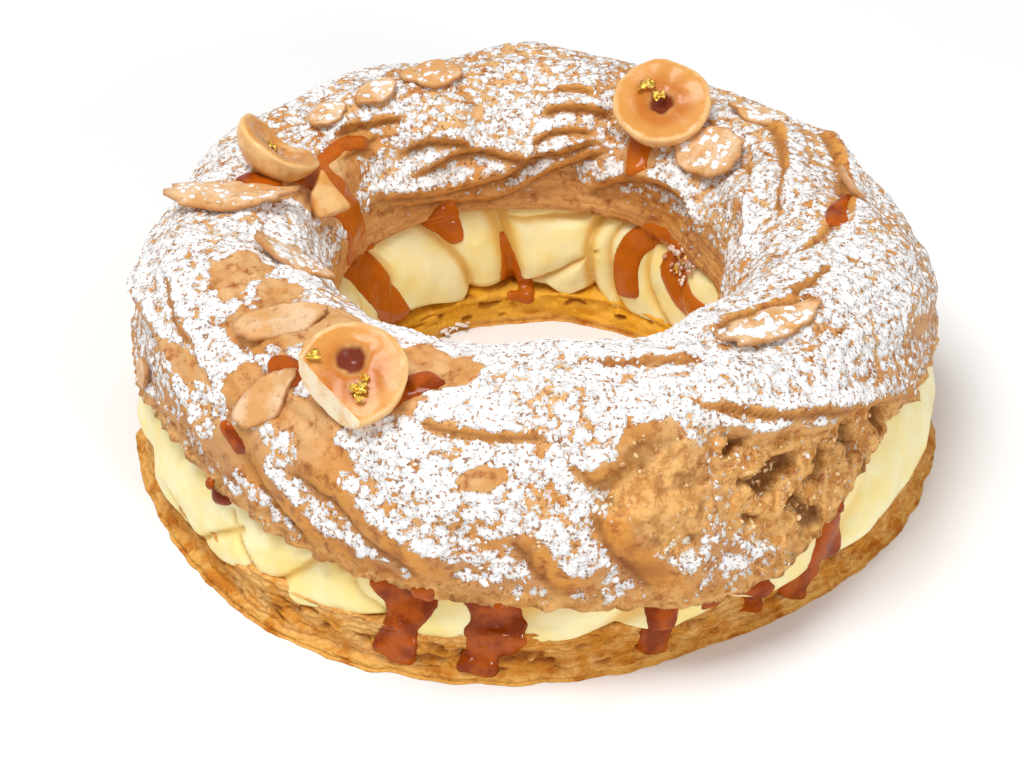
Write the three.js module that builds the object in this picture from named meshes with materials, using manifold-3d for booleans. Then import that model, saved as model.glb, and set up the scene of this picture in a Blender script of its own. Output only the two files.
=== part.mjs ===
// Paris brest: a ring of baked choux, split, filled with piped custard cream and
// finished with halved hazelnuts, flaked almonds and thick caramel.
// Millimetres, +Z up, the underside of the lower ring at z = 0.
// The ring is lopsided: it is made round its own centre, and the finished solids then move so
// that the middle of the whole outline stands on the Z axis.
// Angles round the ring run from +X (0) through +Y (90), in degrees. A station list gives a
// size at equal steps round the ring, starting at +X.

import * as THREE from "three";
import { mergeVertices } from "three/addons/utils/BufferGeometryUtils.js";
import Module from "manifold-3d";

const wasm = await Module();
wasm.setup();

// ---------------------------------------------------------------- driving sizes
const GAP = 0.3; // clear space kept between two pieces that lie on each other
const CENTRING = [0.4, 2.1]; // from the ring's own centre to the middle of its outline, x and y

// the top half of the choux ring, at twelve stations
const LID_OUTSIDE = [65.4, 64.0, 63.8, 64.4, 65.0, 64.8, 67.6, 67.0, 68.0, 68.2, 69.4, 64.2];
const LID_INSIDE = [30.0, 31.0, 32.5, 33.0, 34.5, 35.5, 34.0, 33.5, 33.0, 33.0, 32.0, 30.0];
const LID_EDGE = [19.0, 18.0, 17.0, 17.0, 17.0, 17.0, 17.5, 20.5, 17.0, 15.5, 14.5, 22.5];
const LID_CROWN = [41.8, 40.6, 39.8, 41.0, 41.2, 41.4, 42.0, 43.6, 45.0, 46.2, 45.8, 44.0];
const LID_LIP = 20.5; // height of its lower edge round the hole
const LID_SQUARENESS = 2.3; // 2 is an ellipse, more is squarer
const LID_TURNS = 126; // facets round the ring
const LID_DOME = 22; // facets over the dome
const LID_FLOOR = 4; // facets along the cut underside
const EDGE_RELIEF = 0.35; // share of the relief that is left at the lid's two thin edges

// the lower half, a flat crumb ring with a thin baked skin, and the cream between
const BASE_OUTSIDE = [66.6, 65.0, 64.4, 65.0, 65.6, 66.4, 67.4, 67.8, 69.9, 67.4, 63.7, 65.2];
const BASE_INSIDE = [29.0, 29.0, 29.0, 28.6, 28.8, 30.0, 30.0, 29.5, 29.0, 29.0, 29.0, 29.0];
const BASE_RIM = [10.0, 9.0, 8.5, 8.5, 8.5, 9.0, 11.0, 9.0, 8.5, 8.5, 8.2, 8.6];
const BASE_LIP = 5.4; // height round the hole
const BASE_SKIN = 1.4; // thickness of the browned sole that spreads past the crumb
const BASE_SPREAD = 0.4; // how far the sole spreads past the outside
const BASE_TURNS = 72;
const CREAM_OUTSIDE = [65.0, 63.8, 63.4, 64.0, 64.6, 65.0, 66.4, 67.0, 67.0, 65.0, 63.8, 65.0];
const CREAM_INSIDE = [30.0, 29.6, 29.4, 29.2, 29.6, 30.6, 31.0, 30.5, 30.0, 30.0, 30.0, 29.8];
const CREAM_TURNS = 96;

// piped cream: broad lobes round the hole and smaller shells round the outside
const LOBE_CREASES = [20, 70, 104, 146, 188, 226, 264, 302, 340]; // ring angles between lobes
const LOBE_HEIGHT = 12; // height at which those angles hold
const LOBE_LEAN = -4; // degrees that a crease leans for each 10 mm of height
const LOBE_SWELL = 2.8;
const INNER_RIBS = 27;
const INNER_RIB_SWELL = 0.9;
const INNER_RIB_LEAN = 14; // degrees that a rib leans for each 10 mm of height
const OUTER_SHELLS = 22;
const OUTER_SHELL_SWELL = 1.8;
const SHELL_LEAN = -12;

// ---------------------------------------------------------------- small helpers
const radians = (degrees) => (degrees * Math.PI) / 180;

function clamp01(value) {
  return Math.min(1, Math.max(0, value));
}

function ease(from, to, value) {
  const f = clamp01((value - from) / (to - from));
  return f * f * (3 - 2 * f);
}

// smooth closed curve through equally spaced stations
function around(stations, angle) {
  const count = stations.length;
  const place = ((((angle % 360) + 360) % 360) * count) / 360;
  const i = Math.floor(place) % count;
  const f = place - Math.floor(place);
  const before = stations[(i + count - 1) % count];
  const here = stations[i];
  const next = stations[(i + 1) % count];
  const after = stations[(i + 2) % count];
  const bend = 2 * before - 5 * here + 4 * next - after;
  return here + 0.5 * f * (next - before + f * (bend + f * (3 * (here - next) + after - before)));
}

// shortest signed way from one ring angle to another
function turnBetween(from, to) {
  return ((((to - from) % 360) + 540) % 360) - 180;
}

// a soft hump centred on an angle, one at its middle and gone past its half width
function hump(angle, centre, halfWidth) {
  return 1 - ease(0, halfWidth, Math.abs(turnBetween(centre, angle)));
}

// ---------------------------------------------------------------- the baked surface
// A fold is an edge where one ply of the piped dough ends on top of the next. Its path is
// [ring angle, dome angle] pairs: dome angle 0 is the outer edge, 90 the crown, 180 the hole.
// The ply stands proud on the left of the path, falls off over its fade, and ends in a steep
// flank on the right of the path. Rise, fade and flank are in mm.
const MM_PER_RING_DEGREE = radians(1) * 50; // along the middle of the bar
const MM_PER_DOME_DEGREE = 0.4; // over the dome, about 72 mm of skin for its 180 degrees
const FOLD_FOOT = 0.4; // depth of the crease along the foot, as a share of the rise
const FOLDS = [
  // round the far side of the hole
  { rise: 2.2, fade: 8, flank: 3.2, path: [[143, 158], [120, 166], [102, 163], [85, 151], [70, 142]] },
  { rise: 1.8, fade: 6, flank: 3.0, path: [[109, 176], [94, 170], [84, 158], [74, 147]] },
  { rise: 1.2, fade: 5, flank: 2.2, path: [[136, 154], [122, 152], [109, 150], [96, 154]] },
  { rise: 1.2, fade: 5, flank: 2.2, path: [[132, 142], [116, 145], [109, 147]] },
  { rise: 1.2, fade: 5, flank: 2.2, path: [[92, 146], [82, 140], [74, 138]] },
  { rise: 1.0, fade: 5, flank: 2.2, path: [[90, 135], [81, 128], [74, 127]] },
  { rise: 2.6, fade: 9, flank: 4.0, path: [[82, 178], [66, 159], [47, 152], [32, 158], [21, 171]] },
  // fanning over the right
  { rise: 1.2, fade: 6, flank: 2.2, path: [[31, 116], [19, 124], [2, 136], [350, 145]] },
  { rise: 1.2, fade: 6, flank: 2.2, path: [[36, 90], [22, 100], [12, 110], [359, 117]] },
  { rise: 1.6, fade: 6, flank: 2.4, path: [[36, 58], [18, 72], [8, 80], [352, 86]] },
  // above the tear and down the front
  {
    rise: 3.0,
    fade: 12,
    flank: 2.6,
    path: [[286, 76], [293, 70], [304, 56], [312, 45], [324, 22], [336, 0]],
  },
  { rise: 2.2, fade: 8, flank: 2.4, path: [[274, 46], [278, 50], [284, 56]] },
  { rise: 2.6, fade: 8, flank: 5.0, path: [[280, 38], [282, 24], [286, 14], [290, 4]] },
  { rise: 1.6, fade: 6, flank: 3.0, path: [[268, 28], [272, 16], [276, 6]] },
  { rise: 2.6, fade: 7, flank: 4.0, path: [[226, 34], [234, 22], [242, 11], [252, 5], [260, 2]] },
  { rise: 2.2, fade: 7, flank: 3.5, path: [[234, 38], [244, 32], [251, 20], [260, 12]] },
  { rise: 2.4, fade: 9, flank: 2.6, path: [[184, 33], [192, 37], [206, 36], [217, 23], [222, 8]] },
  // down the outside at the back
  ...[58, 84, 110, 136, 160].map((start) => ({
    rise: 1.3,
    fade: 8,
    flank: 3.0,
    path: [[start, 62], [start + 14, 50], [start + 26, 34], [start + 36, 14]],
  })),
];

function foldHeight(fold, angle, dome) {
  let nearest = Infinity;
  let side = 0;
  let along = 0;
  const parts = fold.path.length - 1;
  for (let i = 0; i < parts; i += 1) {
    const [startAngle, startDome] = fold.path[i];
    const [endAngle, endDome] = fold.path[i + 1];
    const x = turnBetween(startAngle, angle) * MM_PER_RING_DEGREE;
    const y = (dome - startDome) * MM_PER_DOME_DEGREE;
    const alongX = turnBetween(startAngle, endAngle) * MM_PER_RING_DEGREE;
    const alongY = (endDome - startDome) * MM_PER_DOME_DEGREE;
    const share = clamp01((x * alongX + y * alongY) / (alongX * alongX + alongY * alongY));
    const distance = Math.hypot(x - share * alongX, y - share * alongY);
    if (distance < nearest) {
      nearest = distance;
      side = Math.sign(alongX * y - alongY * x);
      along = (i + share) / parts;
    }
  }
  const ends = ease(0, 0.2, along) * ease(0, 0.2, 1 - along);
  const offset = side * nearest;
  const edge = ease(-fold.flank, 0, offset);
  const proud = edge * Math.exp(-Math.max(0, offset) / fold.fade);
  const foot = (1 - edge) * Math.exp(Math.min(0, offset + fold.flank) / (0.4 * fold.fade));
  return fold.rise * ends * (proud - FOLD_FOOT * foot);
}

// the torn side: the crust has come away and the crumb lies lower
const TEAR_FROM = 288;
const TEAR_TO = 338;
const TEAR_DEPTH = 3.2;

function tearDepth(angle, dome) {
  const along = ease(TEAR_FROM, TEAR_FROM + 10, angle) * (1 - ease(TEAR_TO - 8, TEAR_TO, angle));
  const top = THREE.MathUtils.mapLinear(angle, TEAR_FROM, TEAR_TO, 72, 6);
  const bottom = THREE.MathUtils.mapLinear(angle, TEAR_FROM, TEAR_TO - 24, 34, -10);
  return TEAR_DEPTH * along * (1 - ease(top - 8, top, dome)) * ease(bottom - 8, bottom, dome);
}

// How far the piping has twisted round the bar at a ring angle, in dome degrees: little at
// the back, more in front. A whole turn of the ring adds half a turn of twist.
function pipingTwist(angle) {
  return 0.5 * angle + 40 * Math.sin(radians(angle - 285));
}

// the slow swells that any hand-piped, baked ring has, and the rounded ribs of the nozzle
const RIB_SPACING = 30; // dome degrees
const RIB_HEIGHT = 0.8;
function unevenness(angle, dome) {
  const a = radians(angle);
  const d = radians(dome);
  const broad = 0.5 * Math.sin(7 * a + 3 * d) + 0.4 * Math.sin(11 * a - 4 * d + 1);
  const rib = Math.abs(Math.cos((Math.PI * (dome + pipingTwist(angle))) / RIB_SPACING));
  return broad + RIB_HEIGHT * (rib - 0.6);
}

function lidRelief(angle, dome) {
  let height = unevenness(angle, dome) - tearDepth(((angle % 360) + 360) % 360, dome);
  for (const fold of FOLDS) {
    height += foldHeight(fold, angle, dome);
  }
  const atEdges = ease(0, 14, dome) * ease(0, 10, 180 - dome);
  return height * THREE.MathUtils.lerp(EDGE_RELIEF, 1, atEdges);
}

// a point of the lid's section: radius and height, with the outward direction
function lidPoint(angle, dome, lift = 0) {
  const outside = around(LID_OUTSIDE, angle);
  const inside = around(LID_INSIDE, angle);
  const edge = around(LID_EDGE, angle);
  const halfWidth = (outside - inside) / 2;
  const rise = around(LID_CROWN, angle) - (edge + LID_LIP) / 2;
  const c = Math.cos(radians(dome));
  const s = Math.sin(radians(dome));
  const power = 2 / LID_SQUARENESS;
  const across = Math.sign(c) * Math.abs(c) ** power;
  const normalLength = Math.hypot(c / halfWidth, s / rise);
  const out = lift + lidRelief(angle, dome);
  const radius = (outside + inside) / 2 + across * halfWidth + (out * c) / halfWidth / normalLength;
  const floor = THREE.MathUtils.lerp(LID_LIP, edge, (across + 1) / 2);
  const height = floor + Math.abs(s) ** power * rise + (out * s) / rise / normalLength;
  return { radius, height };
}

// ---------------------------------------------------------------- rings from sections
// A round bar bent into a ring gives the faces; every corner then moves to its section point.
const BAR_RING = 50; // radius of the ring that the bar's middle runs on
const BAR_RADIUS = 15;

function ringSolid(turns, sides, sectionPoint) {
  const bar = [];
  for (let side = 0; side <= sides; side += 1) {
    const turn = (2 * Math.PI * side) / sides;
    bar.push(new THREE.Vector2(BAR_RING + BAR_RADIUS * Math.cos(turn), BAR_RADIUS * Math.sin(turn)));
  }
  const geometry = new THREE.LatheGeometry(bar, turns);
  const position = geometry.attributes.position;
  for (let i = 0; i <= turns; i += 1) {
    const angle = (360 * (i % turns)) / turns;
    for (let side = 0; side <= sides; side += 1) {
      const { radius, height } = sectionPoint(angle, side % sides);
      const x = radius * Math.cos(radians(angle));
      const y = radius * Math.sin(radians(angle));
      position.setXYZ(i * (sides + 1) + side, x, y, height);
    }
  }
  return geometry;
}

function lidGeometry(lift = 0) {
  return ringSolid(LID_TURNS, LID_DOME + LID_FLOOR, (angle, side) => {
    if (side <= LID_DOME) {
      return lidPoint(angle, (180 * side) / LID_DOME, lift);
    }
    const share = (side - LID_DOME) / LID_FLOOR;
    const lip = lidPoint(angle, 180, lift);
    const edge = lidPoint(angle, 0, lift);
    return {
      radius: THREE.MathUtils.lerp(lip.radius, edge.radius, share),
      height: THREE.MathUtils.lerp(lip.height, edge.height, share) - lift,
    };
  });
}

// ---------------------------------------------------------------- caramel runs
// thick runs down the outside: ring angle and half width in degrees
const OUTSIDE_RUNS = [
  { at: 250, halfWidth: 4.5 },
  { at: 262, halfWidth: 5.0 },
  { at: 283, halfWidth: 2.8 },
  { at: 292, halfWidth: 3.5 },
  { at: 308, halfWidth: 4.5 },
  { at: 217, halfWidth: 3.0 },
];
// runs over the cream inside the hole
const INSIDE_RUNS = [
  { at: 160, halfWidth: 12 },
  { at: 118, halfWidth: 9 },
  { at: 55, halfWidth: 9 },
  { at: 30, halfWidth: 10 },
];
const RUN_THICKNESS = 1.3;

function runThickness(runs, angle) {
  let most = 0;
  for (const run of runs) {
    most = Math.max(most, hump(angle, run.at, run.halfWidth));
  }
  return RUN_THICKNESS * Math.sqrt(most);
}

// ---------------------------------------------------------------- the lower ring
// height of its crumb top at a given radius
function baseTop(angle, radius) {
  const inside = around(BASE_INSIDE, angle);
  const outside = around(BASE_OUTSIDE, angle);
  const share = clamp01((radius - inside) / (outside - inside));
  return THREE.MathUtils.lerp(BASE_LIP, around(BASE_RIM, angle), share);
}

function baseGeometry() {
  const sides = 11;
  return ringSolid(BASE_TURNS, sides, (angle, side) => {
    const inside = around(BASE_INSIDE, angle);
    const outside = around(BASE_OUTSIDE, angle);
    const rim = around(BASE_RIM, angle);
    const a = radians(angle);
    const crumb = 0.5 * Math.sin(23 * a) + 0.4 * Math.sin(31 * a + 2);
    const run = runThickness(OUTSIDE_RUNS, angle);
    const middle = (inside + outside) / 2;
    // from the outer foot up the rough wall, over the crumb's top and down to the hole
    const section = [
      [outside - 0.6, 0],
      [outside + BASE_SPREAD, 0.5 * BASE_SKIN],
      [outside - 0.5 + run, BASE_SKIN],
      [outside - 1.6 + crumb + run, 0.5 * rim],
      [outside - 1.8 + 0.5 * crumb + 0.7 * run, rim - 1],
      [outside - 3.2, baseTop(angle, outside - 3.2)],
      [middle, baseTop(angle, middle)],
      [inside + 2.2, baseTop(angle, inside + 2.2)],
      [inside + 0.8 + 0.5 * crumb, BASE_LIP - 1],
      [inside + 0.3 - 0.5 * crumb, 0.4 * BASE_LIP],
      [inside, 0],
    ];
    const [radius, height] = section[side];
    return { radius, height };
  });
}

// ---------------------------------------------------------------- the piped cream
// a leaning row of shells or ribs: zero in the creases and one on each back
function shellBack(count, lean, angle, height) {
  const turn = radians(count * (angle + (lean * height) / 10));
  return Math.sqrt(0.5 + 0.5 * Math.cos(turn));
}

// a lobe of any width between two creases: zero in the creases and one on its back
function lobeBack(angle, height) {
  const turn = angle + (LOBE_LEAN * (height - LOBE_HEIGHT)) / 10;
  const count = LOBE_CREASES.length;
  for (let i = 0; i < count; i += 1) {
    const width = (LOBE_CREASES[(i + 1) % count] - LOBE_CREASES[i] + 360) % 360;
    const past = (((turn - LOBE_CREASES[i]) % 360) + 360) % 360;
    if (past < width) {
      return Math.sqrt(Math.sin((Math.PI * past) / width));
    }
  }
  return 0;
}

// height of the lid's cut underside at a given radius, with the gap taken off
function creamTop(angle, radius) {
  const lip = lidPoint(angle, 180);
  const edge = lidPoint(angle, 0);
  const share = clamp01((radius - lip.radius) / (edge.radius - lip.radius));
  return THREE.MathUtils.lerp(lip.height, edge.height, share) - GAP;
}

function creamGeometry() {
  const sides = 14;
  return ringSolid(CREAM_TURNS, sides, (angle, side) => {
    const outside = around(CREAM_OUTSIDE, angle);
    const inside = around(CREAM_INSIDE, angle);
    const outerTop = Math.min(outside, lidPoint(angle, 0).radius) - 2.5;
    const innerTop = Math.max(inside, lidPoint(angle, 180).radius) + 1.5;
    const topOut = creamTop(angle, outerTop);
    const topIn = creamTop(angle, innerTop);
    const footOut = baseTop(angle, outside - 2) + GAP;
    const footIn = baseTop(angle, inside + 3) + GAP;
    const run = runThickness(OUTSIDE_RUNS, angle);
    const drop = runThickness(INSIDE_RUNS, angle);
    const outer = (share, bulge) => {
      const height = THREE.MathUtils.lerp(footOut, topOut, share);
      const shell = OUTER_SHELL_SWELL * shellBack(OUTER_SHELLS, SHELL_LEAN, angle, height);
      return [THREE.MathUtils.lerp(outside, outerTop, share) - 1 + bulge * (0.6 + shell + run), height];
    };
    const inner = (share, bulge) => {
      const height = THREE.MathUtils.lerp(topIn, footIn, share);
      const lobe = LOBE_SWELL * lobeBack(angle, height);
      const rib = INNER_RIB_SWELL * shellBack(INNER_RIBS, INNER_RIB_LEAN, angle, height);
      const out = bulge * (0.2 + lobe + rib + drop);
      return [THREE.MathUtils.lerp(innerTop, inside + 2.6, share) - out, height];
    };
    const middle = (inside + outside) / 2;
    // up the shells, along under the lid and down the lobes, back to the foot
    const section = [
      [outside - 2.4, footOut],
      outer(0.12, 0.7),
      outer(0.35, 1.0),
      outer(0.65, 0.9),
      outer(0.9, 0.3),
      [outerTop - 2, creamTop(angle, outerTop - 2)],
      [middle, creamTop(angle, middle)],
      [innerTop + 1, creamTop(angle, innerTop + 1)],
      inner(0.12, 0.4),
      inner(0.35, 1.0),
      inner(0.6, 1.1),
      inner(0.88, 0.8),
      [inside + 3.6, baseTop(angle, inside + 3.6) + GAP],
      [middle, baseTop(angle, middle) + GAP],
    ];
    const [radius, height] = section[side];
    return { radius, height };
  });
}

// ---------------------------------------------------------------- places on the lid
// The frame of a topping: x round the ring, y up over the dome, z out of the crust.
function placeOnLid(angle, dome, lift) {
  const toPoint = (ringAngle, domeAngle) => {
    const { radius, height } = lidPoint(ringAngle, domeAngle);
    return new THREE.Vector3(
      radius * Math.cos(radians(ringAngle)),
      radius * Math.sin(radians(ringAngle)),
      height,
    );
  };
  const step = 6; // degrees, wide enough to ignore single folds
  const x = toPoint(angle + step, dome).sub(toPoint(angle - step, dome)).normalize();
  const y = toPoint(angle, Math.min(dome + step, 180)).sub(toPoint(angle, Math.max(dome - step, 0)));
  const z = new THREE.Vector3().crossVectors(x, y).normalize();
  if (dome < 90 ? z.dot(toPoint(angle, dome)) < 0 : z.z < 0) {
    z.negate();
  }
  y.crossVectors(z, x).normalize();
  const origin = toPoint(angle, dome).addScaledVector(z, lift);
  return new THREE.Matrix4().makeBasis(x, y, z).setPosition(origin);
}

// ---------------------------------------------------------------- solids for joining
function toManifold(geometry) {
  const plain = geometry.clone();
  plain.deleteAttribute("normal");
  plain.deleteAttribute("uv");
  const merged = mergeVertices(plain, 1e-4);
  return new wasm.Manifold(
    new wasm.Mesh({
      numProp: 3,
      vertProperties: Float32Array.from(merged.attributes.position.array),
      triVerts: Uint32Array.from(merged.index.array),
    }),
  );
}

function toGeometry(manifold) {
  const mesh = manifold.getMesh();
  const geometry = new THREE.BufferGeometry();
  geometry.setAttribute("position", new THREE.BufferAttribute(mesh.vertProperties, 3));
  geometry.setIndex(new THREE.BufferAttribute(mesh.triVerts, 1));
  geometry.computeVertexNormals();
  return geometry;
}

// ---------------------------------------------------------------- almonds
// Flaked almonds: place on the lid, size, turn about the crust's normal and tip out of it.
const FLAKE_THICKNESS = 1.3;
const FLAKES = [
  { angle: 177, dome: 90, length: 22, width: 9.5, turn: 84, tip: -4, lift: 0.4 },
  { angle: 228, dome: 49, length: 13, width: 6.5, turn: 62, tip: 6, lift: 0.3 },
  { angle: 221, dome: 84, length: 15, width: 8.0, turn: 58, tip: 4, lift: 0.3 },
  { angle: 198, dome: 118, length: 15, width: 8.0, turn: 66, tip: 0, lift: 0.3 },
  { angle: 41, dome: 125, length: 15, width: 10.5, turn: 10, tip: 8, lift: 0.4 },
  { angle: 41, dome: 86, length: 11, width: 7.5, turn: 20, tip: 0, lift: 0.3 },
  { angle: 114, dome: 97, length: 11, width: 8.0, turn: -10, tip: 0, lift: 0.4 },
  { angle: 129, dome: 102, length: 9.5, width: 5.5, turn: 15, tip: 5, lift: 0.3 },
  { angle: 142, dome: 101, length: 8.5, width: 5.5, turn: 10, tip: 5, lift: 0.3 },
  { angle: 314, dome: 88, length: 20, width: 7.0, turn: -16, tip: 0, lift: 0.4 },
  { angle: 200, dome: 12, length: 6, width: 5, turn: 20, tip: 0, lift: 0.4 },
  { angle: 9, dome: 82, length: 10.5, width: 5, turn: 4, tip: 40, lift: 1.0 },
];

// a thin slice, blunt at one end and pointed at the other, gently cupped; grown by a
// clearance, it is the room that a kernel lying on it leaves
function flakeGeometry(flake, grow = 0) {
  const geometry = new THREE.SphereGeometry(0.5, 12, 4);
  geometry.rotateX(Math.PI / 2);
  const position = geometry.attributes.position;
  for (let i = 0; i < position.count; i += 1) {
    const along = position.getX(i) * 2;
    const across = position.getY(i) * 2;
    const taper = 1 - 0.35 * ease(0, 1, along);
    const cup = 0.05 * flake.length * along * along;
    const x = (0.5 * flake.length + grow) * along;
    const y = (0.5 * flake.width + grow) * across * taper;
    position.setXYZ(i, x, y, position.getZ(i) * (FLAKE_THICKNESS + 2 * grow) + cup);
  }
  const settle = new THREE.Matrix4().makeRotationFromEuler(
    new THREE.Euler(radians(flake.tip), 0, radians(flake.turn), "ZXY"),
  );
  geometry.applyMatrix4(settle);
  geometry.applyMatrix4(placeOnLid(flake.angle, flake.dome, flake.lift));
  return geometry;
}

// ---------------------------------------------------------------- hazelnuts
// A halved kernel, cut face up, with the dark hollow of its heart a little off centre.
function halfKernel({ radius, depth, hollowRadius, hollowDepth, hollowShift }) {
  const profile = [];
  const shellSteps = 6;
  for (let i = 0; i <= shellSteps; i += 1) {
    const turn = (Math.PI / 2) * (i / shellSteps);
    profile.push(new THREE.Vector2(radius * Math.sin(turn), -depth * Math.cos(turn)));
  }
  profile.push(new THREE.Vector2(radius * 0.93, 0.35));
  const hollowSteps = 3;
  for (let i = 0; i <= hollowSteps; i += 1) {
    const turn = (Math.PI / 2) * (1 - i / hollowSteps);
    profile.push(new THREE.Vector2(hollowRadius * Math.sin(turn), -hollowDepth * Math.cos(turn)));
  }
  profile[0].x = 0;
  profile[profile.length - 1].x = 0;
  const geometry = new THREE.LatheGeometry(profile, 18);
  geometry.rotateX(Math.PI / 2);
  const position = geometry.attributes.position;
  for (let i = 0; i < position.count; i += 1) {
    const fromHeart = Math.hypot(position.getX(i), position.getY(i)) / radius;
    const share = 1 - ease(0.3, 1, fromHeart);
    position.setXY(i, position.getX(i) + hollowShift[0] * share, position.getY(i) + hollowShift[1] * share);
  }
  return geometry;
}

// the cut face looks along a compass direction and a slope above level
function facing(geometry, { centre, compass, slope }) {
  const out = new THREE.Vector3(
    Math.cos(radians(slope)) * Math.cos(radians(compass)),
    Math.cos(radians(slope)) * Math.sin(radians(compass)),
    Math.sin(radians(slope)),
  );
  const x = new THREE.Vector3(1, 0, 0).addScaledVector(out, -out.x).normalize();
  const y = new THREE.Vector3().crossVectors(out, x);
  geometry.applyMatrix4(new THREE.Matrix4().makeBasis(x, y, out).setPosition(...centre));
  return geometry;
}

const KERNEL = { radius: 8.4, depth: 6.6, hollowRadius: 3.2, hollowDepth: 2.2, hollowShift: [0, 0] };
const CURLED_KERNEL = { ...KERNEL, radius: 7.5, depth: 6.4, hollowRadius: 4.7, hollowDepth: 4.2 };
const SPLIT_KERNEL = { ...KERNEL, hollowShift: [0.2, 2.4] };

// where each lies, and where its cut face looks
const FAR_PLACE = { centre: [20.4, 32.4, 43.2], compass: 262, slope: 64 };
const LEFT_PLACE = { centre: [-43.0, 13.0, 46.9], compass: 8, slope: 60 };
const NEAR_PLACE = { centre: [-28.4, -52.6, 47.6], compass: 268, slope: 60 };
const CHIP_PLACE = { centre: [-35.1, 8.4, 38.6], compass: 300, slope: 40 };

const BITE_RADIUS = 4.2; // the curled kernel's broken mouth
const BITE_CENTRE = [-40.4, 20.6, 46.6];
const SPLIT_TURN = 45; // degrees, the way that the near kernel's second split runs
const SPLIT_OFFSET = 4.0; // from the kernel's centre to that split
const SPLIT_AWAY = 30; // size of what the split takes away, wider than the kernel
const CHIP_THICKNESS = 2.2;

// far kernel: whole half, its face turned to the front
function farHazelnut() {
  return toManifold(facing(halfKernel(KERNEL), FAR_PLACE));
}

// left kernel: half with a broken mouth, curling round its hollow
function leftHazelnut() {
  const kernel = toManifold(facing(halfKernel(CURLED_KERNEL), LEFT_PLACE));
  const bite = new THREE.SphereGeometry(BITE_RADIUS, 16, 10);
  bite.translate(...BITE_CENTRE);
  return kernel.subtract(toManifold(bite));
}

// near kernel: half, then split again down one side
function nearHazelnut() {
  const kernel = toManifold(facing(halfKernel(SPLIT_KERNEL), NEAR_PLACE));
  const away = new THREE.BoxGeometry(SPLIT_AWAY, SPLIT_AWAY, SPLIT_AWAY);
  away.translate(-SPLIT_OFFSET - SPLIT_AWAY / 2, 0, 0);
  away.rotateZ(radians(SPLIT_TURN));
  away.translate(...NEAR_PLACE.centre);
  return kernel.subtract(toManifold(away));
}

// chip of kernel: a three-cornered slab standing beside the left kernel
function hazelnutChip() {
  const outline = new THREE.Shape();
  outline.moveTo(-2.0, -3.9);
  outline.lineTo(3.7, -1.2);
  outline.lineTo(-1.6, 4.6);
  outline.quadraticCurveTo(-4.6, 0.8, -2.0, -3.9);
  const slab = new THREE.ExtrudeGeometry(outline, {
    depth: CHIP_THICKNESS,
    bevelEnabled: false,
    curveSegments: 4,
  });
  slab.translate(0, 0, -CHIP_THICKNESS / 2);
  return toManifold(facing(slab, CHIP_PLACE));
}

// ---------------------------------------------------------------- assembly
const CRUST = { color: 0xb9763a, roughness: 0.75, metalness: 0 };
const CREAM = { color: 0xf2dd8f, roughness: 0.45, metalness: 0 };
const SOLE = { color: 0xc98a3c, roughness: 0.7, metalness: 0 };
const NUT = { color: 0xe0ac6a, roughness: 0.5, metalness: 0 };

function piece(name, geometry, look) {
  geometry.translate(CENTRING[0], CENTRING[1], 0);
  const mesh = new THREE.Mesh(geometry, new THREE.MeshStandardMaterial(look));
  mesh.name = name;
  return mesh;
}

const kernels = {
  hazelnut_far: farHazelnut(),
  hazelnut_left: leftHazelnut(),
  hazelnut_near: nearHazelnut(),
  hazelnut_chip: hazelnutChip(),
};

let lid = toManifold(lidGeometry());
let kernelRoom = toManifold(lidGeometry(GAP));
for (const flake of FLAKES) {
  lid = lid.add(toManifold(flakeGeometry(flake)));
  kernelRoom = kernelRoom.add(toManifold(flakeGeometry(flake, GAP)));
}

const group = new THREE.Group();
group.add(piece("choux_base", baseGeometry(), SOLE));
group.add(piece("cream", creamGeometry(), CREAM));
for (const [name, kernel] of Object.entries(kernels)) {
  group.add(piece(name, toGeometry(kernel.subtract(kernelRoom)), NUT));
}
group.add(piece("choux_lid", toGeometry(lid), CRUST));

export default group;
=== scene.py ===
# %% [markdown]
# # A Paris brest, dressed for a close look
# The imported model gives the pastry's solids at their real size. This lesson keeps those
# sizes and remakes each solid as a finely modelled piece: the folded, sugared choux lid,
# the piped cream, the crumbly lower ring, hazelnuts, almonds, caramel and icing sugar.
# Sizes are written in millimetres, as a baker would measure them, and turned into metres
# only when a mesh is written.

# %% Load the fixed frame
import math

import bmesh
import bpy
import numpy as np
from mathutils import Matrix, Vector
from mathutils.bvhtree import BVHTree


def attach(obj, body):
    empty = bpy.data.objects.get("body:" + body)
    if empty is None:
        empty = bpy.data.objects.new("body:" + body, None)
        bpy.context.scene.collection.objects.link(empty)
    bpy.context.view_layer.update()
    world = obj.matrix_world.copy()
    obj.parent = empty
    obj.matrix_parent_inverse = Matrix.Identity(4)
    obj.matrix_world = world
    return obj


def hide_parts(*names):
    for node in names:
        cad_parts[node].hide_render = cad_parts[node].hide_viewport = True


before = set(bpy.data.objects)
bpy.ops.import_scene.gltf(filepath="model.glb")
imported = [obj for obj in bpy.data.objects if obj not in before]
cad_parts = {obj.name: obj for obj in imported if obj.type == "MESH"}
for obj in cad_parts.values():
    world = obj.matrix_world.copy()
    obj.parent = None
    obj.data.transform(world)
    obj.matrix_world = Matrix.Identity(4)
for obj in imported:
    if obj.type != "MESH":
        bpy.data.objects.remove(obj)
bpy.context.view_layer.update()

MM = 0.001
CENTRING = Vector((0.4, 2.1, 0.0))  # mm, from the ring's own centre to the frame's axis
print("solids to dress:", sorted(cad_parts))

# %% [markdown]
# ## The camera
# The pastry is seen from in front and above, from about half a metre, with a long lens.
# The numbers below are real distances in the pastry's own frame, so the view can be
# checked with a tape measure.

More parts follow.
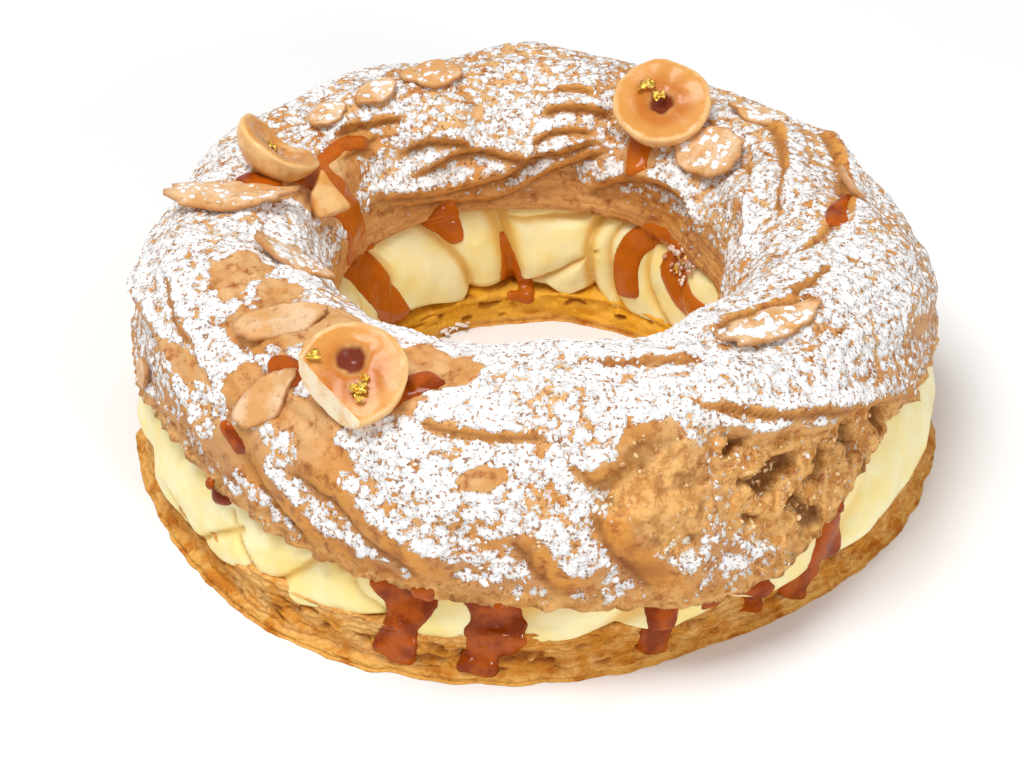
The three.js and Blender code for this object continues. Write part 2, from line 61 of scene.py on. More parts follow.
# %% Camera
CAMERA_SLOPE = 36.4  # degrees above level
CAMERA_DISTANCE = 500.0  # mm to the point in the middle of the picture
CAMERA_AIM = Vector((-4.73, -17.7, 20.0)) + CENTRING  # mm
CAMERA_ROLL = 0.4  # degrees
CAMERA_LENS = 108.6  # mm on a 36 mm wide sensor


def make_camera():
    """Adds the camera, looking along +Y and down on the ring."""
    data = bpy.data.cameras.new("table_camera")
    data.lens = CAMERA_LENS
    data.sensor_width = 36.0
    data.clip_start = 0.01
    camera = bpy.data.objects.new("table_camera", data)
    bpy.context.scene.collection.objects.link(camera)
    slope = math.radians(CAMERA_SLOPE)
    back = Vector((0, -math.cos(slope), math.sin(slope)))
    camera.location = (CAMERA_AIM + back * CAMERA_DISTANCE) * MM
    tilt = Matrix.Rotation(math.pi / 2 - slope, 3, "X")
    roll = Matrix.Rotation(math.radians(CAMERA_ROLL), 3, "Z")
    camera.rotation_euler = (tilt @ roll).to_euler()
    bpy.context.scene.camera = camera
    return camera


camera = make_camera()
print("camera at", [round(c / MM) for c in camera.location], "mm")

# %% [markdown]
# ## Sizes round the ring
# A hand-piped ring isn't round. Its outline is kept as twelve stations, one every 30
# degrees from +X, and a smooth closed curve runs through them. A fitted circle would be
# shorter to write, but it would lose the lopsided look that makes it a real pastry.

# %% Stations and easing
# Everything is in mm, and each list holds its twelve stations, from +X on
GAP = 0.3  # between two layers
LID_OUTSIDE = [65.4, 64.0, 63.8, 64.4, 65.0, 64.8, 67.6, 67.0, 68.0, 68.2, 69.4, 64.2]
LID_INSIDE = [30.0, 31.0, 32.5, 33.0, 34.5, 35.5, 34.0, 33.5, 33.0, 33.0, 32.0, 30.0]
LID_EDGE = [19.0, 18.0, 17.0, 17.0, 17.0, 17.0, 17.5, 20.5, 17.0, 15.5, 14.5, 22.5]
LID_CROWN = [41.8, 40.6, 39.8, 41.0, 41.2, 41.4, 42.0, 43.6, 45.0, 46.2, 45.8, 44.0]
LID_LIP = 20.5  # height of the edge at the hole
LID_SQUARENESS = 2.3  # 2 is a round section
BASE_OUTSIDE = [66.6, 65.0, 64.4, 65.0, 65.6, 66.4, 67.4, 67.8, 69.9, 67.4, 63.7, 65.2]
BASE_INSIDE = [29.0, 29.0, 29.0, 28.6, 28.8, 30.0, 30.0, 29.5, 29.0, 29.0, 29.0, 29.0]
BASE_RIM = [10.0, 9.0, 8.5, 8.5, 8.5, 9.0, 11.0, 9.0, 8.5, 8.5, 8.2, 8.6]
BASE_LIP = 5.4  # height of the edge at the hole
BASE_SKIN = 1.4  # thickness of the sole
CREAM_OUTSIDE = [65.0, 63.8, 63.4, 64.0, 64.6, 65.0, 66.4, 67.0, 67.0, 65.0, 63.8, 65.0]
CREAM_INSIDE = [30.0, 29.6, 29.4, 29.2, 29.6, 30.6, 31.0, 30.5, 30.0, 30.0, 30.0, 29.8]


def smooth_curve(before, here, after, last, share):
    """The point that share of the way from here to after, on a soft curve through all four."""
    bend = 2 * before - 5 * here + 4 * after - last
    steep = 3 * (here - after) + last - before
    return here + 0.5 * share * (after - before + share * (bend + share * steep))


def around(stations, angle):
    """A smooth closed curve through equally spaced stations, read at any ring angle."""
    values = np.asarray(stations, float)
    count = len(values)
    place = np.mod(angle, 360.0) * count / 360.0
    i = np.floor(place).astype(int) % count
    four = [values[(i + step) % count] for step in (-1, 0, 1, 2)]
    return smooth_curve(*four, place - np.floor(place))


def ease(start, end, value):
    """0 before start, 1 after end, and a soft step between."""
    f = np.clip((np.asarray(value, float) - start) / (end - start), 0.0, 1.0)
    return f * f * (3 - 2 * f)


def ease_span(rises, full, falls, end, value):
    """0 outside a span and 1 inside it, with a soft step up and a soft step down."""
    return ease(rises, full, value) * (1 - ease(falls, end, value))


def mix(a, b, share):
    """The value that share of the way from a to b."""
    return a + (b - a) * share


def turn_between(start, end):
    """The shortest signed turn from one ring angle to another."""
    return np.mod(np.asarray(end) - start + 540.0, 360.0) - 180.0


print("outline stations:", len(LID_OUTSIDE), "widest", 2 * max(LID_OUTSIDE), "mm")

# %% [markdown]
# ## Grain
# Nothing baked is perfectly smooth. One seeded noise gives every blister, pore and crumb:
# random slopes on a lattice, blended softly, with finer layers added on top. Written on
# whole arrays, one layer over the lid takes about a tenth of a second, where a loop over
# its corners takes several seconds.

# %% Seeded noise on arrays
CHANCE = np.random.default_rng(11)
LATTICE = CHANCE.permutation(256)
SLOPES = CHANCE.normal(size=(256, 3))
SLOPES /= np.linalg.norm(SLOPES, axis=1)[:, None]


def one_grain(points):
    """Noise with lumps one unit apart."""
    cell = np.floor(points).astype(int)
    inside = points - cell
    soft = inside**3 * (inside * (inside * 6 - 15) + 10)
    total = np.zeros(len(points))
    for corner in np.ndindex(2, 2, 2):
        at = (cell + corner) % 256
        pick = LATTICE[(LATTICE[(LATTICE[at[:, 0]] + at[:, 1]) % 256] + at[:, 2]) % 256]
        weight = np.prod(np.where(corner, soft, 1 - soft), axis=1)
        total += weight * np.sum(SLOPES[pick] * (inside - corner), axis=1)
    return 1.7 * total


def grain(points, size, octaves=3):
    """Soft random noise, about -1 to 1, with lumps of that size in mm."""
    total, weight = np.zeros(len(points)), 1.0
    for octave in range(octaves):
        total += weight * one_grain(points / size + 17.3 * octave)
        size, weight = size / 2, weight / 2
    return total


sample = grain(CHANCE.uniform(0, 99, (4000, 3)), 5.0)
print("grain runs from", round(sample.min(), 2), "to", round(sample.max(), 2))

# %% [markdown]
# ## The folds of the lid
# Choux is piped in ropes that lie on each other like roof tiles. In the oven each ply
# keeps a raised edge that catches sugar and a steep bare flank below it. Sculpting them by
# hand would be slow to change, so each fold is a short path over the lid with a rise, a
# fade and a flank width, and one function turns the paths into height.

# %% Fold paths
MM_PER_RING_DEGREE = math.radians(1) * 50  # half way between the hole and the outside
MM_PER_DOME_DEGREE = 0.4
FOLD_FOOT = 0.4  # depth of the crease under a flank, as a share of the fold's rise
FOLD_STEEPNESS = 0.6  # below 1, a flank is steepest at its foot
FOLDS = [
    # rise, fade, flank, path of (ring angle, dome angle); the ply is on the path's left
    # round the far side of the hole, from the crown down to the lip
    (1.2, 3, 1.0, [(88, 114), (82, 112), (76, 115)]),
    (1.5, 4, 1.2, [(146, 111), (136, 115), (130, 119), (124, 125)]),
    (1.7, 4, 1.3, [(91, 131), (85, 126), (78, 124), (70, 126)]),
    (1.7, 4, 1.3, [(133, 141), (124, 139), (116, 142), (109, 146)]),
    (1.7, 4, 1.3, [(94, 147), (89, 141), (82, 137), (73, 136)]),
    (2.2, 4, 1.5, [(135, 153), (126, 151), (116, 148), (107, 148), (100, 151), (91, 151), (84, 148),
                   (76, 142), (68, 137)]),
    (2.5, 5, 1.9, [(151, 153), (136, 159), (124, 163), (112, 164), (102, 160), (95, 154), (90, 150)]),
    (2.4, 5, 1.8, [(150, 161), (134, 165), (122, 170), (109, 172), (99, 169), (91, 162), (82, 154),
                   (75, 147), (66, 139)]),
    (2.6, 6, 2.0, [(80, 175), (72, 164), (62, 155), (50, 151), (40, 152), (32, 158), (24, 168)]),
    # fanning over the right
    (1.5, 5, 1.6, [(32, 110), (22, 120), (14, 131), (2, 138), (350, 146)]),
    (1.5, 5, 1.6, [(40, 84), (32, 88), (22, 97), (10, 109), (359, 117)]),
    (1.6, 5, 1.8, [(36, 58), (24, 69), (18, 74), (8, 80), (352, 86)]),
    (1.3, 8, 1.0, [(291, 73), (298, 65), (305, 55), (312, 45), (324, 23), (336, 1)]),
    (2.2, 8, 2.4, [(274, 46), (278, 50), (284, 56)]),
    (2.4, 7, 3.6, [(280, 38), (282, 24), (286, 14), (290, 4)]),
    (1.6, 6, 3.0, [(268, 28), (272, 16), (276, 6)]),
    (2.6, 7, 4.0, [(226, 34), (234, 22), (242, 11), (252, 5), (260, 2)]),
    (2.2, 7, 3.5, [(234, 38), (244, 32), (251, 20), (260, 12)]),
    (2.4, 9, 2.6, [(184, 33), (192, 37), (206, 36), (217, 23), (222, 8)]),
    # shallow creases
    (0.7, 3, 1.2, [(150, 128), (141, 128), (132, 126)]),
    (0.7, 4, 1.4, [(344, 108), (352, 98), (0, 92)]),
    (0.6, 3, 1.2, [(322, 92), (330, 91), (340, 88)]),
    (0.7, 4, 1.4, [(300, 100), (310, 104), (320, 96), (328, 80)]),
    (0.6, 3, 1.0, [(278, 98), (288, 93), (298, 88)]),
    (0.7, 4, 1.4, [(250, 66), (262, 62), (272, 64)]),
    (0.6, 4, 1.4, [(196, 60), (204, 52), (214, 48)]),
    (0.7, 4, 1.6, [(16, 152), (4, 158), (352, 164)]),
]
for start in (58, 84, 110, 136, 160):
    FOLDS.append((1.3, 8, 3.0, [(start, 62), (start + 14, 50), (start + 26, 34), (start + 36, 14)]))

print(len(FOLDS), "folds")

# %% From paths to height
def round_off(path, points=24):
    """The same path with rounded corners, whatever numbers each of its knots holds."""
    knots = np.array(path, float)
    knots[:, 0] = knots[0, 0] + turn_between(knots[0, 0], knots[:, 0])
    ends = np.vstack([2 * knots[0] - knots[1], knots, 2 * knots[-1] - knots[-2]])
    place = np.linspace(0, len(knots) - 1, points)
    i = np.minimum(place.astype(int), len(knots) - 2)
    return smooth_curve(ends[i], ends[i + 1], ends[i + 2], ends[i + 3], (place - i)[:, None])


def offset_from_path(path, angle, dome, mm_across=MM_PER_RING_DEGREE, mm_up=MM_PER_DOME_DEGREE):
    """Signed distance in mm from a path over the lid, positive on its left, and how far
    along the path the nearest point is, from 0 to 1."""
    nearest = np.full(angle.shape, 1e9)
    side = np.zeros(angle.shape)
    along = np.zeros(angle.shape)
    knots = round_off(path, 3 * len(path) + 2)
    parts = len(knots) - 1
    for i in range(parts):
        x = turn_between(knots[i, 0], angle) * mm_across
        y = (dome - knots[i, 1]) * mm_up
        step_x = (knots[i + 1, 0] - knots[i, 0]) * mm_across
        step_y = (knots[i + 1, 1] - knots[i, 1]) * mm_up
        share = np.clip((x * step_x + y * step_y) / (step_x**2 + step_y**2), 0, 1)
        distance = np.hypot(x - share * step_x, y - share * step_y)
        closer = distance < nearest
        nearest = np.where(closer, distance, nearest)
        side = np.where(closer, np.sign(step_x * y - step_y * x), side)
        along = np.where(closer, (i + share) / parts, along)
    return side * nearest, along


def across_lid(at, up, angle, dome):
    """How far each corner lies from a spot on the lid, in mm round the ring and up the dome."""
    return turn_between(at, angle) * MM_PER_RING_DEGREE, (dome - up) * MM_PER_DOME_DEGREE


def near_path(path, reach, angle, dome):
    """Which corners lie within reach, in mm, of the box round a path."""
    turns = [turn_between(path[0][0], knot[0]) for knot in path]
    domes = [knot[1] for knot in path]
    middle = path[0][0] + (min(turns) + max(turns)) / 2
    wide = (max(turns) - min(turns)) / 2 + reach / MM_PER_RING_DEGREE
    high = reach / MM_PER_DOME_DEGREE
    inside = (dome > min(domes) - high) & (dome < max(domes) + high)
    return np.flatnonzero(inside & (np.abs(turn_between(middle, angle)) < wide))


def fold_relief(angle, dome, waver):
    """Height that all the folds add, and where their flanks, crests and creases are."""
    height, bare, crest, crease = (np.zeros(angle.shape) for _ in range(4))
    for rise, fade, flank, path in FOLDS:
        near = near_path(path, 3 * fade, angle, dome)
        if not len(near):
            continue
        offset, along = offset_from_path(path, angle[near], dome[near])
        offset = offset + waver[near]
        ends = ease(0, 0.2, along) * ease(0, 0.2, 1 - along)
        edge = np.clip(1 + offset / flank, 0, 1) ** FOLD_STEEPNESS
        proud = edge * np.exp(-np.maximum(0, offset) / fade) * (1 - ease(1.8 * fade, 3 * fade, offset))
        foot = (1 - edge) * np.exp(np.minimum(0, offset + flank) / (0.4 * fade))
        height[near] += rise * ends * (proud - FOLD_FOOT * foot)
        band = ease(-flank - 1.0, -flank + 0.4, offset) * (1 - ease(-0.7, 0.3, offset))
        bare[near] = np.maximum(bare[near], ends * band * min(1.0, 0.4 + 0.5 * rise))
        crest[near] = np.maximum(crest[near], ends * np.exp(-(((offset - 1.1) / 0.9) ** 2)))
        crease[near] = np.maximum(crease[near], ends * np.exp(-(((offset + flank) / 0.5) ** 2)))
    return height, bare, crest, crease


# %% [markdown]
# ## Tear, ribs and pores
# At the front right the crust has torn away and the crumb shows: deeper, rough and full
# of bubbles. Elsewhere the nozzle leaves fine ribs that twist round the bar, and the
# baked skin is lightly blistered. All of it is added to one height, so the light finds
# real slopes and not only painted ones.

# %% Relief of the lid
TEAR_FROM, TEAR_TO, TEAR_DEPTH = 288, 338, 3.2  # ring angles, and mm
RIB_SPACING, RIB_HEIGHT = 30, 0.8  # dome degrees, and mm
FINE_RIB_SPACING, FINE_RIB_HEIGHT = 8, 0.38
EDGE_RELIEF = 0.35  # share of the relief that is left at the lid's edges
FRAYED_PATCHES = [(285, 44, 7, 8), (287, 30, 5, 5)]  # ring angle, dome angle, length, width


def piping_twist(angle):
    """How far the piping has turned round the bar at a ring angle, in dome degrees."""
    return 0.5 * angle + 40 * np.sin(np.radians(angle - 285))


def torn_share(angle, dome, waver):
    """1 where the crust is torn off and 0 where it is whole."""
    a = np.mod(angle, 360.0)
    along = ease_span(TEAR_FROM, TEAR_FROM + 10, TEAR_TO - 8, TEAR_TO, a)
    top = mix(72, 6, np.clip((a - TEAR_FROM) / (TEAR_TO - TEAR_FROM), 0, 1)) + 5 * waver
    bottom = mix(34, -10, np.clip((a - TEAR_FROM) / (TEAR_TO - 24 - TEAR_FROM), 0, 1.2)) + 5 * waver
    return along * (1 - ease(top - 8, top, dome)) * ease(bottom - 8, bottom, dome)


def lid_relief(angle, dome, points):
    """Height over the smooth lid in mm, and the marks that its finish reads."""
    a, d = np.radians(angle), np.radians(dome)
    waver = grain(points, 9.0, 2)
    fine = grain(points, 2.2, 3)
    broad = 0.5 * np.sin(7 * a + 3 * d) + 0.4 * np.sin(11 * a - 4 * d + 1)
    twisted = dome + piping_twist(angle) + 2.5 * waver
    rib = RIB_HEIGHT * (np.abs(np.cos(np.pi * twisted / RIB_SPACING)) - 0.6)
    ridge_share = np.clip(0.55 + 0.9 * grain(points, 18.0, 2), 0, 1)
    rib_top = np.sqrt(np.abs(np.cos(np.pi * twisted / FINE_RIB_SPACING)))
    fine_rib = FINE_RIB_HEIGHT * ridge_share * (rib_top - 0.7)
    folds, bare, crest, crease = fold_relief(angle, dome, 0.4 * waver + 0.15 * fine)
    torn = torn_share(angle, dome, waver)
    holes = ease(0.15, 0.5, grain(points * [1, 1, 1.5] + 40, 6.5, 3))
    crumb = torn * (grain(points, 3.4, 4) - 3.2 * holes - TEAR_DEPTH)
    frayed = np.zeros(angle.shape)
    for at, up, length, width in FRAYED_PATCHES:
        x, y = across_lid(at, up, angle, dome)
        frayed = np.maximum(frayed, 1 - ease(0.75, 1.1, np.hypot(x / length, y / width) + 0.3 * waver))
    crumb += frayed * (1 - torn) * (0.5 * grain(points * [1, 1, 0.5] + 11, 1.8, 3) - 0.5 * holes)
    skin = (1 - torn) * (1 - 0.7 * bare) * (fine_rib + 0.25 * fine)
    at_edges = ease(0, 14, dome) * ease(0, 10, 180 - dome)
    height = (broad + rib + skin + folds + crumb) * mix(EDGE_RELIEF, 1, at_edges)
    ragged = (1 - ease(2, 16, dome)) * 0.9 * grain(points + 70, 2.6, 3)
    ragged_rim = 0.8 * (1 - ease(1, 8 + 7 * waver, dome))
    # groove marks the grooves between the fine ribs, where the crust's finish paints shade
    marks = {
        "flank": bare * (1 - torn), "torn": np.maximum.reduce([torn, 0.8 * frayed, ragged_rim]),
        "rib_top": ridge_share * rib_top, "groove_shade": ridge_share * (1 - rib_top), "crest": crest,
        "crease": crease * (1 - torn), "pit": np.maximum(torn, 0.6 * frayed) * holes,
    }
    return height + ragged, marks


# %% [markdown]
# ## Rings from one round bar
# All three layers are rings, like dough rolled into a rope and joined end to end. A flat
# grid is rolled the same way: its width into a tube and its length round the ring, and
# its meeting edges are welded. A spun circle would give the same even faces, but a spin
# of seven hundred steps takes some twenty seconds where the grid takes less than one.

# %% Roll a bar and place a section
BAR_RING, BAR_RADIUS = 50.0, 15.0  # mm


def rolled_bar(turns, sides):
    """A bmesh of a closed round ring, with its corners' ring angles and section shares."""
    bm = bmesh.new()
    bmesh.ops.create_grid(bm, x_segments=turns, y_segments=sides, size=0.5)
    for vert in bm.verts:
        turn, round_bar = math.tau * vert.co.x, math.tau * vert.co.y
        radius = BAR_RING + BAR_RADIUS * math.cos(round_bar)
        vert.co = radius * math.cos(turn), radius * math.sin(turn), BAR_RADIUS * math.sin(round_bar)
    bmesh.ops.remove_doubles(bm, verts=bm.verts, dist=0.01)
    bmesh.ops.recalc_face_normals(bm, faces=bm.faces)
    places = np.array([v.co for v in bm.verts])
    angle = np.degrees(np.arctan2(places[:, 1], places[:, 0]))
    out = np.hypot(places[:, 0], places[:, 1]) - BAR_RING
    share = np.mod(np.arctan2(places[:, 2], out) / math.tau + 1e-7, 1.0)
    return bm, angle, share


def to_points(angle, radius, height):
    """Ring angle, radius and height as XYZ rows in mm."""
    a = np.radians(angle)
    return np.stack([radius * np.cos(a), radius * np.sin(a), height], axis=-1)


def add_piece(name, mesh):
    """Shows a mesh, smoothly shaded, as a piece at the origin."""
    mesh.shade_smooth()
    piece = bpy.data.objects.new(name, mesh)
    bpy.context.scene.collection.objects.link(piece)
    return piece


def new_piece(name, bm, points=None):
    """Writes a bmesh in mm, with moved corners where given, as a piece at the origin."""
    if points is not None:
        for vert, place in zip(bm.verts, points):
            vert.co = place
    bmesh.ops.translate(bm, verts=bm.verts, vec=CENTRING)
    bmesh.ops.scale(bm, vec=(MM, MM, MM), verts=bm.verts)
    mesh = bpy.data.meshes.new(name)
    bm.to_mesh(mesh)
    bm.free()
    return add_piece(name, mesh)


def mark(piece, **marks):
    """Stores numbers for each corner under their names, for the piece's material to read."""
    for name, values in marks.items():
        layer = piece.data.attributes.new(name, "FLOAT", "POINT")
        layer.data.foreach_set("value", np.asarray(values, np.float32))


def read_rows(items, name, width):
    """What the items of a mesh hold under a name, as rows of that many numbers."""
    numbers = np.empty(len(items) * width, np.float32)
    items.foreach_get(name, numbers)
    return numbers.reshape(-1, width)


def lid_surface(angle, dome, relief=0.0):
    """Section of the lid: radius and height of its skin at a dome angle."""
    outside, inside = around(LID_OUTSIDE, angle), around(LID_INSIDE, angle)
    edge = around(LID_EDGE, angle)
    half = (outside - inside) / 2
    rise = around(LID_CROWN, angle) - (edge + LID_LIP) / 2
    c, s = np.cos(np.radians(dome)), np.sin(np.radians(dome))
    power = 2 / LID_SQUARENESS
    across = np.sign(c) * np.abs(c) ** power
    length = np.hypot(c / half, s / rise)
    radius = (outside + inside) / 2 + across * half + relief * c / half / length
    floor = mix(LID_LIP, edge, (across + 1) / 2)
    return radius, floor + np.abs(s) ** power * rise + relief * s / rise / length


print("lid crown at +X:", np.round(lid_surface(0.0, 90.0), 1), "mm")

# %% [markdown]
# ## The choux lid
# The dome takes nine tenths of the bar's corners, because that is what is seen, and the
# flat cut underside the rest. Besides the shape, every corner keeps numbers for the
# baker's finish: how much sugar lies there, how bare a flank it is, and how torn.

# %% Where the sugar lies
SUGAR_ROUND = [0.92, 0.86, 0.82, 0.84, 0.84, 0.92, 1.08, 1.08, 1.06, 1.20, 1.14, 1.00]
BARE_PATCHES = [
    # ring angle, dome angle, length round the ring, width up the dome, turn in degrees
    (203, 86, 6, 6, 0), (210, 96, 5, 4, 20), (222, 84, 8, 7, 20), (229, 98, 6, 5, 0),
    (218, 70, 6, 5, 0), (228, 50, 7, 5, 0), (237, 52, 6, 4, 10), (251, 92, 7, 5, -20),
    (247, 75, 4, 5, 0), (286, 44, 6, 8, 0), (283, 30, 3, 5, 0), (163, 128, 8, 9, 0),
    (150, 138, 6, 6, 0), (172, 104, 5, 6, 0), (140, 126, 5, 5, 0), (212, 38, 5, 2, 0),
    (226, 22, 6, 4, 40), (240, 40, 4, 3, 0), (262, 44, 3, 2, 20), (60, 144, 5, 6, 0),
]


def patch_share(angle, dome, waver):
    """1 inside the patches that the sugar missed."""
    share = np.zeros(angle.shape)
    for at, up, length, width, turn in BARE_PATCHES:
        x, y = across_lid(at, up, angle, dome)
        c, s = math.cos(math.radians(turn)), math.sin(math.radians(turn))
        far = np.hypot((x * c + y * s) / length, (y * c - x * s) / width) + 0.4 * waver
        share = np.maximum(share, 1 - ease(0.8, 1.05, far))
    return share


def sugar_share(angle, dome, points, normals, marks):
    """How much icing sugar has settled on each spot, from 0 to 1."""
    settles = ease(-0.3, 0.25, normals[:, 2])
    near_lip = 1 - ease(158, 172, dome)
    sugar = around(SUGAR_ROUND, angle) * settles * mix(0.25, 1, near_lip)
    sugar *= 1 + 0.35 * (marks["rib_top"] - 0.4) + 0.12 * grain(points + 5, 14.0, 2)
    sugar += 0.3 * marks["crest"] * settles
    sugar *= mix(0.84, 1, ease(15, 60, dome))
    sugar *= (1 - 0.9 * marks["flank"]) * (1 - 0.9 * marks["crease"]) * (1 - 0.75 * marks["torn"])
    return sugar * (1 - 0.9 * patch_share(angle, dome, grain(points, 5.0, 3)))


print(len(BARE_PATCHES), "patches without sugar")

# %% Model the lid
LID_TURNS, LID_SIDES = 700, 134
DOME_SHARE = 0.92  # of the bar's corners


def make_lid():
    """The dome with its relief, and under it a flat cut that joins its two edges."""
    bm, angle, share = rolled_bar(LID_TURNS, LID_SIDES)
    on_dome = share <= DOME_SHARE
    dome = np.where(on_dome, 180 * share / DOME_SHARE, 180.0)
    smooth_points = to_points(angle, *lid_surface(angle, dome))
    relief, marks = lid_relief(angle, dome, smooth_points)
    radius, height = lid_surface(angle, dome, relief)
    beneath = angle[~on_dome]
    rims = []
    for rim_dome in (np.full(beneath.shape, 180.0), np.zeros(beneath.shape)):
        rim_points = to_points(beneath, *lid_surface(beneath, rim_dome))
        rims.append(lid_surface(beneath, rim_dome, lid_relief(beneath, rim_dome, rim_points)[0]))
    across = (share[~on_dome] - DOME_SHARE) / (1 - DOME_SHARE)
    radius[~on_dome] = mix(rims[0][0], rims[1][0], across)
    height[~on_dome] = mix(rims[0][1], rims[1][1], across)
    lid = new_piece("choux_lid_crust", bm, to_points(angle, radius, height))
    normals = read_rows(lid.data.vertex_normals, "vector", 3)
    sugar = sugar_share(angle, dome, smooth_points, normals, marks)
    marks["sugar"] = np.where(on_dome, sugar, 0)
    marks["torn"] = np.where(on_dome, marks["torn"], 1)
    marks["lip"] = ease(146, 166, dome)
    marks["low"] = 1 - ease(8, 50, dome)
    names = ("sugar", "flank", "crease", "torn", "pit", "lip", "groove_shade", "low")
    mark(lid, **{name: marks[name] for name in names})
    return lid


lid = make_lid()
print("lid faces:", len(lid.data.polygons))

# %% [markdown]
# ## Node helpers
# Every finish is a small node tree on a Principled shader. A few helpers keep the trees
# readable: each adds one node, sets its sockets and gives back its result. A result knows
# which tree it is in, so the tree needn't be handed from line to line.

# %% Material helpers
def new_finish(name, rough=0.5, gloss=0.15):
    """A new material with its shader and the object's own coordinates."""
    finish = bpy.data.materials.new(name)
    finish.use_nodes = True
    nodes = finish.node_tree.nodes
    shader = nodes["Principled BSDF"]
    shader.inputs["Roughness"].default_value = rough
    shader.inputs["Specular IOR Level"].default_value = gloss
    return finish, shader, nodes.new("ShaderNodeTexCoord").outputs["Object"]


def feed(socket, value):
    """Links a result to a socket, or sets a plain number, colour or vector on it."""
    if isinstance(value, bpy.types.NodeSocket):
        socket.id_data.links.new(value, socket)
    elif socket.type == "RGBA":
        socket.default_value = (*value, 1.0)
    else:
        socket.default_value = value


def add_node(near, kind, result, sockets, **settings):
    """Adds a node to the tree that near is in, sets it up and gives back one result."""
    node = near.id_data.nodes.new("ShaderNode" + kind)
    for name, value in settings.items():
        setattr(node, name, value)
    for name, value in sockets.items():
        feed(node.inputs[name], value)
    return node.outputs[result]


# %% Arithmetic, colours and patterns
def calc(operation, a, b):
    """One step of arithmetic on numbers or results."""
    near = b if isinstance(a, float) else a
    return add_node(near, "Math", 0, {0: a, 1: b}, operation=operation)


def times(a, b):
    """A number or result, times another."""
    return calc("MULTIPLY", a, b)


def rest_of(share):
    """What is left of 1 once a share is taken."""
    return calc("SUBTRACT", 1.0, share)


def centred(noise):
    """Noise of 0 to 1, moved to run from -0.5 to 0.5."""
    return calc("SUBTRACT", noise, 0.5)


def blend(share, low, high):
    """Mixes two colours by a share from 0 to 1."""
    return add_node(share, "Mix", 2, {0: share, 6: low, 7: high}, data_type="RGBA")


def attribute(shader, name):
    """A number that the mesh keeps for each corner."""
    return add_node(shader, "Attribute", "Fac", {}, attribute_name=name)


def cloud(place, size, detail=4.0, roughness=0.6, result="Fac"):
    """Noise with lumps of about that size in mm, from 0 to 1."""
    sockets = {"Vector": place, "Scale": 1.0 / (size * MM), "Detail": detail, "Roughness": roughness}
    return add_node(place, "TexNoise", result, sockets)


def layers(place, apart):
    """Thin wavy level layers that far apart in mm, 1 between them."""
    wave = {"Scale": math.tau / 20 / (apart * MM), "Distortion": 9.0, "Detail": 3.0, "Detail Scale": 1.2}
    return add_node(place, "TexWave", "Fac", {"Vector": place, **wave}, bands_direction="Z")


def step_up(value, start, end):
    """0 below start and 1 above end."""
    sockets = {"Value": value, "From Min": start, "From Max": end}
    return add_node(value, "MapRange", "Result", sockets, interpolation_type="SMOOTHSTEP")


def bump(height, distance, strength=1.0, under=None):
    """Bumps of that height in mm; under is a coarser bump that this one rides on."""
    sockets = {"Height": height, "Distance": distance * MM, "Strength": strength}
    if under is not None:
        sockets["Normal"] = under
    return add_node(height, "Bump", 0, sockets)


# %% Onto the shader
def paint(shader, colour, rough=None, skin=None):
    """Links the results that a finish has worked out to its shader."""
    for socket, result in (("Base Color", colour), ("Roughness", rough), ("Normal", skin)):
        if result is not None:
            feed(shader.inputs[socket], result)


def soften(shader, weight, reach, depth):
    """Lets some light in under the skin: red, green and blue reach, and a depth in mm."""
    shader.inputs["Subsurface Weight"].default_value = weight
    shader.inputs["Subsurface Radius"].default_value = reach
    shader.inputs["Subsurface Scale"].default_value = depth * MM


# %% [markdown]
# ## Crust and icing sugar
# The crust is a warm tan, golden on the flanks of its folds, with painted shade in the creases at their feet
# and in the grooves between the fine ribs. Icing sugar falls in rounded clumps of a millimetre or two, which
# merge where it lies thick.
# A cell pattern gives the clumps: each cell's middle is white, and the sugar number from
# the mesh says how far the white spreads before the crust shows between the cells.

# %% Crust colours and the cover of sugar
CRUST_PALE = (0.78, 0.46, 0.20)
CRUST_TAN = (0.65, 0.29, 0.078)
CRUST_GOLD = (0.76, 0.33, 0.065)
CRUST_CHESTNUT = (0.38, 0.115, 0.026)
# dark pores and specks of the crust, and also the painted shade at the foot of each fold
CRUST_DARK_AND_CREASE_SHADE = (0.18, 0.05, 0.014)
CRUMB_PALE = (0.86, 0.48, 0.16)
CRUMB_TAN = (0.60, 0.26, 0.062)
# dark pores of the crumb, and also the painted shade in its holes
CRUMB_DARK_AND_PIT_SHADE = (0.13, 0.035, 0.008)
SUGAR_WHITE = (0.94, 0.925, 0.915)
SUGAR_ON_CRUMB = (0.90, 0.74, 0.52)
SUGAR_CLUMP = 1.6  # mm
SUGAR_SHAKE = (0.0013, 0.0013, 0.0013)  # metres that the clumps' outlines wander


def sugar_cover(place, sugar):
    """White clumps as a number: above 0 is sugar, and higher is deeper in a clump."""
    shake = {0: cloud(place, 1.3, 2.0, 0.6, "Color"), 1: SUGAR_SHAKE, 2: place}
    shaken = add_node(place, "VectorMath", 0, shake, operation="MULTIPLY_ADD")
    cells = {"Vector": shaken, "Scale": 1.0 / (SUGAR_CLUMP * MM)}
    from_middle = add_node(place, "TexVoronoi", "Distance", cells)
    spread = times(sugar, 0.72)
    drift = times(centred(cloud(place, 5.0, 3.0, 0.6)), 0.9)
    dust = times(centred(cloud(place, 0.7, 3.0, 0.7)), 1.1)
    reach = calc("ADD", calc("ADD", spread, drift), dust)
    reach = calc("SUBTRACT", reach, from_middle)
    clean = rest_of(step_up(sugar, 0.02, 0.25))
    return calc("SUBTRACT", reach, clean)


